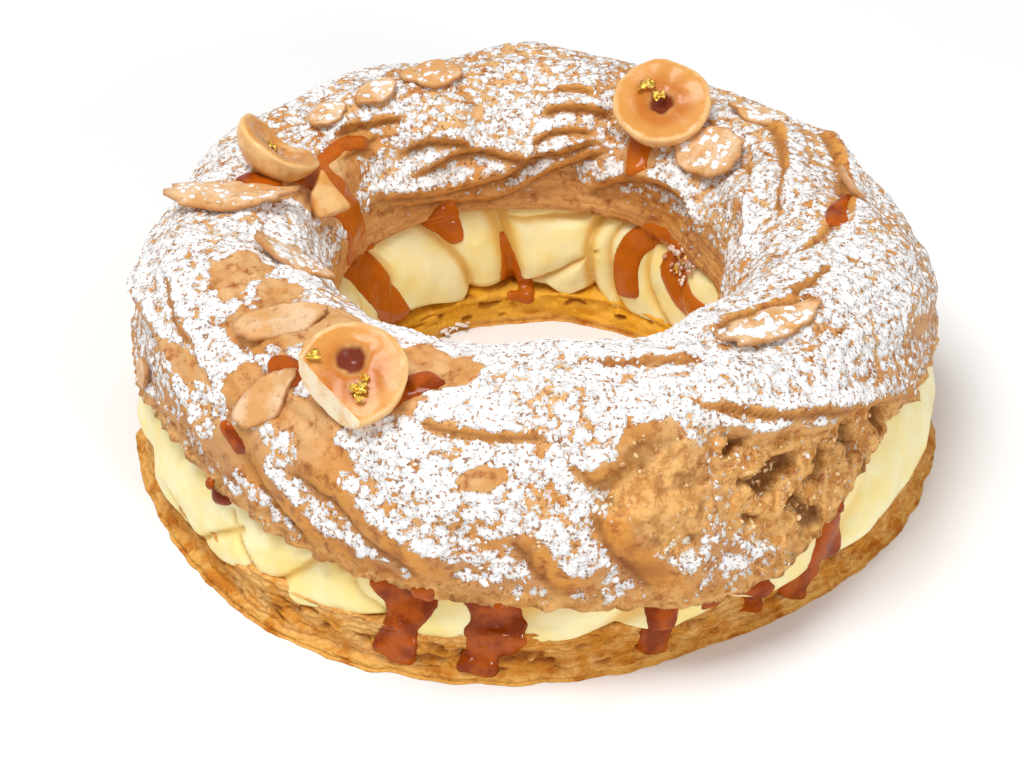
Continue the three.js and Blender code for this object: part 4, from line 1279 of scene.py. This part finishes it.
def make_chip():
    """A three-cornered splinter: a square drawn to its corners, given a thickness."""
    bm = bmesh.new()
    square = bmesh.ops.create_circle(bm, cap_ends=True, segments=4, radius=1.0)["verts"]
    for vert, corner in zip(square, CHIP_CORNERS):
        vert.co = (*corner, -CHIP_THICKNESS / 2)
    upper = bmesh.ops.extrude_face_region(bm, geom=bm.faces[:])["geom"]
    raised = [part for part in upper if isinstance(part, bmesh.types.BMVert)]
    bmesh.ops.translate(bm, verts=raised, vec=(0, 0, CHIP_THICKNESS))
    bmesh.ops.bevel(
        bm, geom=bm.edges[:], offset=CHIP_BEVEL, segments=3, profile=0.5, affect="EDGES", material=-1,
    )
    bmesh.ops.triangulate(bm, faces=[face for face in bm.faces if len(face.verts) > 4])
    bmesh.ops.subdivide_edges(bm, edges=bm.edges[:], cuts=3, use_grid_fill=True)
    bmesh.ops.recalc_face_normals(bm, faces=bm.faces)
    return finish_kernel("hazelnut_splinter", bm, facing(*CHIP_PLACE), CHIP_REACH, 4, 0.0)


nuts = [make_far_kernel(), make_left_kernel(), make_near_kernel(), make_chip()]
print("kernels:", [(nut.name, len(nut.data.polygons)) for nut in nuts])

# %% Kernel finish
NUT_CREAM = (0.84, 0.52, 0.22)
NUT_TAN = (0.70, 0.31, 0.065)
NUT_AMBER = (0.56, 0.17, 0.018)
NUT_HEART_AND_SHADE = (0.20, 0.03, 0.008)
NUT_FLESH = (0.93, 0.78, 0.54)


def gloss_kernel(shader, place, colour):
    """The parts of a kernel's finish that the skin and the split side share."""
    soften(shader, 0.15, (1.0, 0.5, 0.2), 1.5)
    shader.inputs["Coat Weight"].default_value = 0.15
    shader.inputs["Coat Roughness"].default_value = 0.15
    paint(shader, colour, skin=bump(cloud(place, 1.0, 4.0, 0.6), 0.12, 0.5))


def kernel_finish():
    """Roasted kernel: amber in the middle of its cut face, cream at the rim, a dark heart with painted shade
    in its hollow.
    """
    finish, shader, place = new_finish("roasted_hazelnut", rough=0.3, gloss=0.3)
    out, heart, face = (attribute(shader, n) for n in ("out", "heart", "face"))
    toast = cloud(place, 3.5, 4.0, 0.6)
    rings = calc("ADD", out, times(centred(toast), 0.35))
    cut = blend(step_up(rings, 0.40, 0.78), NUT_AMBER, NUT_TAN)
    cut = blend(step_up(rings, 0.86, 0.99), cut, NUT_CREAM)
    shell = blend(step_up(toast, 0.36, 0.64), NUT_TAN, NUT_CREAM)
    colour = blend(face, shell, cut)
    # the dark heart of the kernel, with painted shade toward the bottom of its hollow
    colour = blend(step_up(heart, 0.12, 0.8), colour, NUT_HEART_AND_SHADE)
    gloss_kernel(shader, place, colour)
    return finish


def split_side_finish():
    """The pale flesh of a fresh split."""
    finish, shader, place = new_finish("split_hazelnut", rough=0.35)
    toast = cloud(place, 3.0, 4.0, 0.6)
    colour = blend(step_up(toast, 0.30, 0.55), NUT_CREAM, NUT_FLESH)
    gloss_kernel(shader, place, colour)
    return finish


roasted = kernel_finish()
for nut in nuts:
    nut.data.materials.append(roasted)
nuts[2].data.materials.append(split_side_finish())

# %% [markdown]
# ## Caramel
# Thick caramel runs out between the layers, down the outside and over the petals in the
# hole, and pools under the nuts. It is a film: broad, about a millimetre thick and thicker
# at its end. Each film is a mat of small flattened balls, set down on the pastry by
# casting a ray at it, then remeshed into one skin and smoothed, so the balls flow together
# as a liquid does. A plain strip laid over the cream would cut through its creases.

# %% Where the caramel runs
OUTSIDE_FILMS = [
    # thickness, then knots of (ring angle, height, half width) down the outside
    (1.0, [(251.6, 15.6, 6.2), (252.3, 12.6, 4.8), (251.6, 8.8, 2.8), (251, 5.2, 3.4), (250.5, 1.6, 3.6)]),
    (1.0, [(262, 15.2, 4.2), (262.6, 12.2, 2.6), (264, 8.4, 5.2), (262.4, 4.8, 3.0), (261.6, 1.6, 3.2)]),
    (0.8, [(286.5, 10.6, 3.0), (286.3, 7.6, 2.4), (286, 4.6, 2.8), (285.5, 1.6, 3.0)]),
    (0.8, [(293, 10.4, 2.4), (297, 9.4, 2.4), (301.5, 8.0, 2.6), (302.4, 4.8, 2.0), (302, 1.6, 2.4)]),
    (1.1, [(315.4, 18.4, 2.2), (314.8, 14.2, 3.0), (313.4, 9.4, 3.6), (311, 5.4, 3.0), (309, 2.0, 3.2)]),
    (1.4, [(219.8, 19.4, 1.8), (220.6, 17.6, 2.4), (221.2, 15.6, 1.6)]),
]
HOLE_FILMS = [
    (1.0, [(120.5, 21.4, 3.6), (118.4, 19.6, 2.8), (116.4, 16.8, 1.5)]),
    (0.8, [(101, 14.4, 1.2), (99.6, 10.4, 1.9), (98.6, 6.6, 2.4), (93, 5.2, 2.0)]),
    (1.1, [(46, 21.4, 2.0), (53.5, 20.0, 2.4), (59, 17.0, 2.5), (60.4, 12.6, 2.6), (58.4, 8.4, 2.5)]),
    (1.1, [(40, 21.0, 2.0), (42, 19.0, 2.4), (41, 16.4, 3.0), (34, 13.4, 3.2), (25, 12.4, 3.4),
           (16, 13.0, 3.0)]),
    (0.9, [(151, 20.0, 4.2), (148.5, 15.0, 4.0), (145.5, 10.0, 3.4), (143, 6.0, 3.2)]),
]
LID_FILMS = [
    # thickness, then knots of (ring angle, dome angle, half width) over the lid
    (0.9, [(62, 132, 2.6), (60.5, 142, 3.0), (58.5, 150, 2.6)]),
    (0.9, [(163, 112, 2.4), (160, 128, 3.6), (156.5, 144, 4.2), (154, 158, 4.4), (152.5, 176, 4.2)]),
    (0.9, [(170, 92, 1.6), (172, 100, 2.2), (171, 110, 2.0)]),
    (0.7, [(156, 127, 1.4), (150, 123, 1.7), (143, 124, 2.0), (138.5, 130, 1.4)]),
    (0.6, [(155, 132, 1.0), (155, 140, 1.3), (156, 148, 1.8)]),
    (1.0, [(226.6, 63, 1.7), (229, 64.5, 2.4), (231.6, 64, 2.2)]),
    (0.6, [(246, 68, 2.0), (249.5, 78, 2.6), (252, 86, 2.4)]),
    (0.9, [(357, 90, 1.9), (2, 89, 1.7), (6, 84, 1.0)]),
    (0.6, [(226, 22, 1.6), (223, 28, 1.2)]),
]
BALL_STEP = 0.85  # mm between balls, along and across a film
BALL_REACH = 1.35  # mm, half the length of each
BALL_SUNK = 0.15  # mm
CARAMEL_VOXEL = 0.36  # mm
SMOOTHINGS = 12
RAY_FROM = 90.0  # mm from the middle of the ring, outside everything
RAY_ABOVE = 7.0  # mm over the lid's smooth skin, above its folds
WALL_ARC = {True: math.radians(1) * 66, False: HOLE_ARC}


# %% Lay balls on the pastry
def many_balls(name, places, faces_step=1, rough=0.0, seed=1):
    """Many stretched balls as one mesh: each place is three stretched axes and a centre."""
    bm = bmesh.new()
    bmesh.ops.create_icosphere(bm, subdivisions=faces_step, radius=1.0)
    ball = np.array([v.co for v in bm.verts])
    faces = np.array([[v.index for v in face.verts] for face in bm.faces])
    bm.free()
    places = np.asarray(places, float)
    count = len(places)
    uneven = np.random.default_rng(seed).uniform(-rough, rough, (count, len(ball), 1))
    corners = np.einsum("nvi,nij->nvj", ball[None] * (1 + uneven), places[:, :3]) + places[:, 3:]
    corners = (corners.reshape(-1, 3) + np.array(CENTRING)) * MM
    faces = (faces[None] + len(ball) * np.arange(count)[:, None, None]).reshape(-1, 3)
    mesh = bpy.data.meshes.new(name)
    mesh.from_pydata(corners.tolist(), [], faces.tolist())
    return add_piece(name, mesh)


# %% Cast rays at the pastry
bpy.context.view_layer.update()
SKINS = [BVHTree.FromObject(piece, bpy.context.evaluated_depsgraph_get()) for piece in (lid, base, cream)]
print("skins to cast at:", len(SKINS))


def cast(start, way):
    """The first spot that a ray meets, in mm, and the way out of the pastry there."""
    hits = [skin.ray_cast((start + CENTRING) * MM, way) for skin in SKINS]
    hits = [hit for hit in hits if hit[0] is not None]
    if not hits:
        return None
    spot, normal, _, _ = min(hits, key=lambda hit: hit[3])
    return spot / MM - CENTRING, normal if normal.dot(way) < 0 else -normal


def wall_spot(angle, height, outside):
    """A spot on the outside of the ring, or on the wall of its hole."""
    a = math.radians(angle)
    out = Vector((math.cos(a), math.sin(a), 0))
    return cast(Vector((0, 0, height)) + out * (RAY_FROM if outside else 0), -out if outside else out)


def lid_spot(angle, dome):
    """A spot on the folded skin of the lid."""
    x = smooth_point(angle + 2, dome) - smooth_point(angle - 2, dome)
    z = x.cross(smooth_point(angle, min(dome + 2, 180)) - smooth_point(angle, max(dome - 2, 0)))
    z.normalize()
    middle = Vector(to_points(float(angle), 50.0, 28.0))
    if z.dot(smooth_point(angle, dome) - middle) < 0:
        z.negate()
    return cast(smooth_point(angle, dome) + z * RAY_ABOVE, -z)


def film_balls(path, thick, arc, rise, spot_at):
    """Places of the flat balls that cover one film, thicker towards its end."""
    fine = round_off(path, 40)
    along = np.stack([fine[:, 0] * arc, fine[:, 1] * rise], 1)
    length = np.concatenate([[0], np.cumsum(np.hypot(*np.diff(along, axis=0).T))])
    stops = np.arange(0, length[-1] + 0.01, BALL_STEP)
    at = np.stack([np.interp(stops, length, along[:, i]) for i in (0, 1)], 1)
    halves = np.interp(stops, length, fine[:, 2])
    ahead = np.gradient(at, axis=0)
    ahead /= np.linalg.norm(ahead, axis=1)[:, None]
    places = []
    for spot, way, half, share in zip(at, ahead, halves, stops / length[-1]):
        reach = max(0.0, half - 0.8 * BALL_REACH)
        for aside in np.linspace(-reach, reach, 1 + 2 * math.ceil(reach / BALL_STEP / 2)):
            x, y = spot[0] - way[1] * aside, spot[1] + way[0] * aside
            hit = spot_at(x / arc, y / rise)
            if hit is None:
                continue
            place, z = hit
            flat = z.orthogonal().normalized()
            deep = thick * (0.75 + 0.5 * share**3) * (1 - 0.35 * (aside / max(half, 0.1)) ** 2)
            places.append([flat * BALL_REACH, z.cross(flat) * BALL_REACH, z * deep, place - z * BALL_SUNK])
    return places


# %% Model the caramel
def make_caramel():
    """All the films as balls, remeshed into one skin and smoothed."""
    places = []
    for films, outside in ((OUTSIDE_FILMS, True), (HOLE_FILMS, False)):
        for thick, path in films:
            places += film_balls(
                path, thick, WALL_ARC[outside], 1.0,
                lambda angle, height, outside=outside: wall_spot(angle, height, outside),
            )
    for thick, path in LID_FILMS:
        places += film_balls(path, thick, MM_PER_RING_DEGREE, MM_PER_DOME_DEGREE, lid_spot)
    caramel = many_balls("caramel_runs", places, faces_step=2)
    flow = caramel.modifiers.new("flow", "REMESH")
    flow.mode = "VOXEL"
    flow.voxel_size = CARAMEL_VOXEL * MM
    settled = caramel.evaluated_get(bpy.context.evaluated_depsgraph_get())
    skin = bpy.data.meshes.new_from_object(settled)
    caramel.modifiers.clear()
    caramel.data = skin
    bm = bmesh.new()
    bm.from_mesh(skin)
    for _ in range(SMOOTHINGS):
        bmesh.ops.smooth_vert(
            bm, verts=bm.verts, factor=0.5, use_axis_x=True, use_axis_y=True, use_axis_z=True,
        )
    bmesh.ops.recalc_face_normals(bm, faces=bm.faces)
    bm.to_mesh(skin)
    bm.free()
    skin.shade_smooth()
    print("balls in the caramel:", len(places))
    spots = np.array([vert.co for vert in skin.vertices]) / MM - np.array(CENTRING)
    mark(caramel, thin=1 - ease(36, 48, np.hypot(spots[:, 0], spots[:, 1])))
    return caramel


caramel = make_caramel()
print("caramel faces:", len(caramel.data.polygons))

# %% Caramel finish
CARAMEL_AMBER = (0.45, 0.088, 0.003)
CARAMEL_BROWN = (0.24, 0.033, 0.001)
CARAMEL_THIN = (0.60, 0.155, 0.008)


def caramel_finish():
    """Glossy dark caramel, lighter where the films in the hole lie thin."""
    finish, shader, place = new_finish("caramel", rough=0.12, gloss=0.12)
    swirl = cloud(place, 4.0, 3.0, 0.55)
    colour = blend(step_up(swirl, 0.36, 0.62), CARAMEL_BROWN, CARAMEL_AMBER)
    colour = blend(times(attribute(shader, "thin"), 0.65), colour, CARAMEL_THIN)
    soften(shader, 0.15, (1.0, 0.3, 0.06), 1.0)
    shader.inputs["Coat Weight"].default_value = 0.25
    shader.inputs["Coat Roughness"].default_value = 0.05
    paint(shader, colour, skin=bump(cloud(place, 1.4, 3.0, 0.5), 0.22, 0.5))
    return finish


caramel.data.materials.append(caramel_finish())

# %% [markdown]
# ## Clumps of icing sugar
# Painted sugar alone looks flat at the edge of the dome, so a few thousand small clumps
# of real mesh lie on it where the sugar is thickest. They are drawn at random, but from
# one seed, and each is a squashed ball of a few faces, since nobody sees its facets. The
# one ball is made by an operator, and arrays copy it, which is quick.

# %% How clumps and crumbs are strewn
SUGAR_CLUMPS = 3600
HEAP_CLUMPS = 22  # of a little heap of sugar on the sole, inside the hole
CRUMBS_ON_TEAR = 260
PRALINE_BITS, PRALINE_LIFT = 80, 0.9  # how many, and mm over the wall
LOW_EDGE = 20  # mm, below which crumbs are rare


def strewn(spots, outs, sizes, flatness, stretch=1.5):
    """Places for many_balls: squashed balls lying on the skin, turned at random."""
    count = len(spots)
    long = CHANCE.uniform(1 / stretch, stretch, (count, 1))
    aside = np.cross(outs, CHANCE.normal(size=(count, 3)))
    aside /= np.linalg.norm(aside, axis=1)[:, None]
    sizes = np.asarray(sizes)[:, None]
    across = np.cross(outs, aside)
    return np.stack([aside * sizes * long, across * sizes / long, outs * sizes * flatness, spots], 1)


def corners_of(piece, name):
    """A piece's corners in mm from the ring's centre, the way out at each, and a mark."""
    places = read_rows(piece.data.vertices, "co", 3) / MM - np.array(CENTRING)
    values = read_rows(piece.data.attributes[name].data, "value", 1)[:, 0]
    return places, read_rows(piece.data.vertex_normals, "vector", 3), values


def picked(places, weight, count):
    """Corners drawn at random, more often where the weight is high and the mesh is wide."""
    chance = np.hypot(places[:, 0], places[:, 1]) * weight
    return CHANCE.choice(len(places), count, replace=False, p=chance / chance.sum())


# %% Model sugar, crumbs and praline
def make_sugar():
    """Clumps on the lid where the sugar is thick, and a little heap beside the hole."""
    places, outs, sugar = corners_of(lid, "sugar")
    picks = picked(places, np.clip(sugar - 0.2, 0, 1), SUGAR_CLUMPS)
    sizes = np.clip(CHANCE.lognormal(-1.15, 0.4, SUGAR_CLUMPS), 0.14, 0.75)
    balls = [strewn(places[picks], outs[picks], sizes, 0.38)]
    # ring angle, radius and height of the heap
    spans = ((116, 127), (28.2, 29.2), (0.7, 1.6))
    heap = to_points(*[CHANCE.uniform(low, high, HEAP_CLUMPS) for low, high in spans])
    up = np.tile([0.0, 0.0, 1.0], (HEAP_CLUMPS, 1))
    balls.append(strewn(heap, up, CHANCE.uniform(0.25, 0.6, HEAP_CLUMPS), 0.5))
    return many_balls("icing_sugar_clumps", np.concatenate(balls), 1, 0.22, 5)


def make_crumbs():
    """Crumbs of choux in the tear and on the lid's lower edges."""
    places, outs, torn = corners_of(lid, "torn")
    often = np.where(places[:, 2] < LOW_EDGE, 0.15, 1.0)
    picks = picked(places, often * np.clip(torn - 0.3, 0, 1) * (outs[:, 2] > -0.2), CRUMBS_ON_TEAR)
    sizes = np.clip(CHANCE.lognormal(-1.2, 0.4, CRUMBS_ON_TEAR), 0.15, 0.6)
    return many_balls("choux_crumbs", strewn(places[picks], outs[picks], sizes, 0.7), 1, 0.3, 6)


def make_praline():
    """Chopped praline and sugar that sticks to the second run of caramel in the hole."""
    spots, outs = [], []
    angles, heights = CHANCE.normal(38.5, 3.2, PRALINE_BITS), CHANCE.normal(18.6, 1.7, PRALINE_BITS)
    for angle, height in zip(angles, heights):
        hit = wall_spot(angle, height, False)
        if hit is not None:
            spots.append(hit[0] + hit[1] * PRALINE_LIFT)
            outs.append(hit[1])
    sizes = np.clip(CHANCE.lognormal(-1.0, 0.35, len(spots)), 0.2, 0.7)
    return many_balls("praline_crumbs", strewn(np.array(spots), np.array(outs), sizes, 0.7), 1, 0.3, 7)


sugar_clumps, crumbs, praline = make_sugar(), make_crumbs(), make_praline()
print("strewn faces:", [(p.name, len(p.data.polygons)) for p in (sugar_clumps, crumbs, praline)])

# %% Sugar and crumb finishes
SUGAR_GRAINS = ((0.92, 0.90, 0.88), (0.98, 0.97, 0.965))
CHOUX_COLOURS = ((0.92, 0.68, 0.38), (0.62, 0.30, 0.11))
PRALINE_COLOURS = ((0.95, 0.82, 0.72), (0.66, 0.26, 0.12))


def sugar_finish():
    """Matt white, very slightly warm."""
    finish, shader, place = new_finish("icing_sugar", rough=0.9, gloss=0.2)
    grains = cloud(place, 0.6, 3.0, 0.6)
    colour = blend(step_up(grains, 0.3, 0.6), *SUGAR_GRAINS)
    paint(shader, colour, skin=bump(grains, 0.2, 0.6))
    return finish


def crumb_finish(name, pale, dark):
    """Small baked bits, pale in places and dark in others."""
    finish, shader, place = new_finish(name, rough=0.6)
    bits = step_up(cloud(place, 1.2, 3.0, 0.6), 0.42, 0.6)
    skin = bump(cloud(place, 0.5, 3.0, 0.6), 0.2, 0.6)
    paint(shader, blend(bits, dark, pale), skin=skin)
    return finish


sugar_clumps.data.materials.append(sugar_finish())
crumbs.data.materials.append(crumb_finish("choux_crumb", *CHOUX_COLOURS))
praline.data.materials.append(crumb_finish("praline", *PRALINE_COLOURS))

# %% [markdown]
# ## Gold leaf
# A few torn scraps of gold leaf lie on the nuts and on the praline. Each is a small grid
# of faces, crumpled by the same grain, torn at its rim and given a little thickness, and
# it is the only metal on the pastry.

# %% Model the gold leaf
GOLD_SCRAPS = [
    # where its frame lies, place in that frame, and size in mm
    (facing(*NEAR_PLACE), (1.0, -2.9, 0.6), 2.6), (facing(*NEAR_PLACE), (1.9, -1.2, 0.5), 1.6),
    (facing(*NEAR_PLACE), (-5.6, 2.6, 0.6), 2.0), (facing(*NEAR_PLACE), (1.4, -4.6, 0.6), 1.4),
    (facing(*FAR_PLACE), (-2.6, 2.9, 0.6), 2.3), (facing(*FAR_PLACE), (-0.4, 0.9, 0.2), 1.9),
    (facing(*LEFT_PLACE), (-0.6, 1.6, -2.6), 1.5), (facing(*LEFT_PLACE), (2.4, -0.6, -2.8), 1.1),
]
PRALINE_SCRAPS = [(36.5, 19.4, 1.7), (38.0, 17.6, 1.5), (35.0, 21.0, 1.3)]  # ring angle, height, size
LEAF_THICKNESS, LEAF_LIFT = 0.05, 1.3  # mm


def make_gold():
    """Small grids of faces, torn at the rim, crumpled and given their thickness."""
    bm = bmesh.new()
    places = list(GOLD_SCRAPS)
    for angle, height, size in PRALINE_SCRAPS:
        spot, out = wall_spot(angle, height, False)
        frame_there = out.to_track_quat("Z", "Y").to_matrix().to_4x4()
        frame_there.translation = spot + out * LEAF_LIFT
        places.append((frame_there, (0, 0, 0), size))
    for number, (frame_there, at, size) in enumerate(places):
        grid = bmesh.ops.create_grid(bm, x_segments=12, y_segments=12, size=size / 2)["verts"]
        flat = np.array([v.co for v in grid])
        reach = 1 + 0.5 * grain(flat + 13 * number, size * 0.6, 3)
        crumple = 0.55 * grain(flat + 7 * number, 0.9, 3) + 0.25 * reach
        for vert, (x, y, _), r, up in zip(grid, flat, reach, crumple):
            vert.co = frame_there @ Vector((at[0] + x * r, at[1] + 0.7 * y * r, at[2] + up))
    bmesh.ops.solidify(bm, geom=bm.faces[:], thickness=LEAF_THICKNESS)
    bmesh.ops.recalc_face_normals(bm, faces=bm.faces)
    return new_piece("gold_leaf", bm)


gold = make_gold()
print("gold leaf faces:", len(gold.data.polygons))

# %% Gold finish
GOLD_DARK = (0.72, 0.40, 0.05)
GOLD_BRIGHT = (1.0, 0.72, 0.16)


def gold_finish():
    """Metal, lighter and darker in soft random patches."""
    finish, shader, place = new_finish("gold_leaf", rough=0.3)
    leaf_patches = cloud(place, 0.8, 3.0, 0.6)
    paint(shader, blend(step_up(leaf_patches, 0.35, 0.65), GOLD_DARK, GOLD_BRIGHT))
    shader.inputs["Metallic"].default_value = 0.8
    return finish


gold.data.materials.append(gold_finish())

# %% [markdown]
# ## Floor and light
# The pastry stands on a plain pale table in soft, even studio light, brightest from
# above and a little from the front, so the sugar reads white and the folds still shade.
# The plain display curve is chosen because it keeps whites white and browns warm.

# %% Stage
FLOOR_SIZE = 3.0  # metres
FLOOR_COLOURS = ((0.90, 0.90, 0.90), (0.92, 0.92, 0.92))
LIGHT_AIM = (0, 0, 0.02)  # metres, just over the middle of the table
LIGHTS = [
    # name, place in metres, size in metres, watts
    ("top_box", (-0.25, -0.15, 0.95), 0.45, 6.9),
    ("front_box", (0.5, -0.9, 0.5), 0.16, 3.0),
]
STUDIO_GLOW = 0.48


def make_floor():
    """A wide plain table."""
    bm = bmesh.new()
    bmesh.ops.create_grid(bm, x_segments=8, y_segments=8, size=FLOOR_SIZE / 2 / MM)
    floor = new_piece("table", bm)
    finish, shader, place = new_finish("pale_table", rough=0.8)
    soft = cloud(place, 40.0, 2.0, 0.5)
    paint(shader, blend(soft, *FLOOR_COLOURS))
    floor.data.materials.append(finish)
    return floor


def make_light(name, place, size, watts):
    """A square soft box, turned to the pastry."""
    data = bpy.data.lights.new(name, "AREA")
    data.size = size
    data.energy = watts
    light = bpy.data.objects.new(name, data)
    light.location = place
    light.rotation_euler = (Vector(LIGHT_AIM) - Vector(place)).to_track_quat("-Z", "Y").to_euler()
    bpy.context.scene.collection.objects.link(light)


floor = make_floor()
for light in LIGHTS:
    make_light(*light)
world = bpy.data.worlds.new("studio")
world.use_nodes = True
glow = world.node_tree.nodes["Background"]
glow.inputs["Color"].default_value = (1, 1, 1, 1)
glow.inputs["Strength"].default_value = STUDIO_GLOW
bpy.context.scene.world = world
bpy.context.scene.view_settings.view_transform = "Standard"

# %% [markdown]
# ## Tie the pieces to the frame
# Each dressed piece takes the place of the solid that it was modelled from, and all of
# them ride on the one body.

# %% Replace and ride
for piece, node, slot in [
    (lid, "choux_lid", "baked_crust"), (flakes, "choux_lid", "hazelnut"),
    (base, "choux_base", "baked_base"), (cream, "cream", "custard_cream"),
    (nuts[0], "hazelnut_far", "hazelnut"), (nuts[1], "hazelnut_left", "hazelnut"),
    (nuts[2], "hazelnut_near", "hazelnut"), (nuts[3], "hazelnut_chip", "hazelnut"),
]:
    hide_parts(node)
    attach(piece, "root")
for piece, slot in [
    (caramel, "hazelnut"), (sugar_clumps, "baked_crust"), (crumbs, "baked_crust"),
    (praline, "hazelnut"), (gold, "hazelnut"),
]:
    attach(piece, "root")
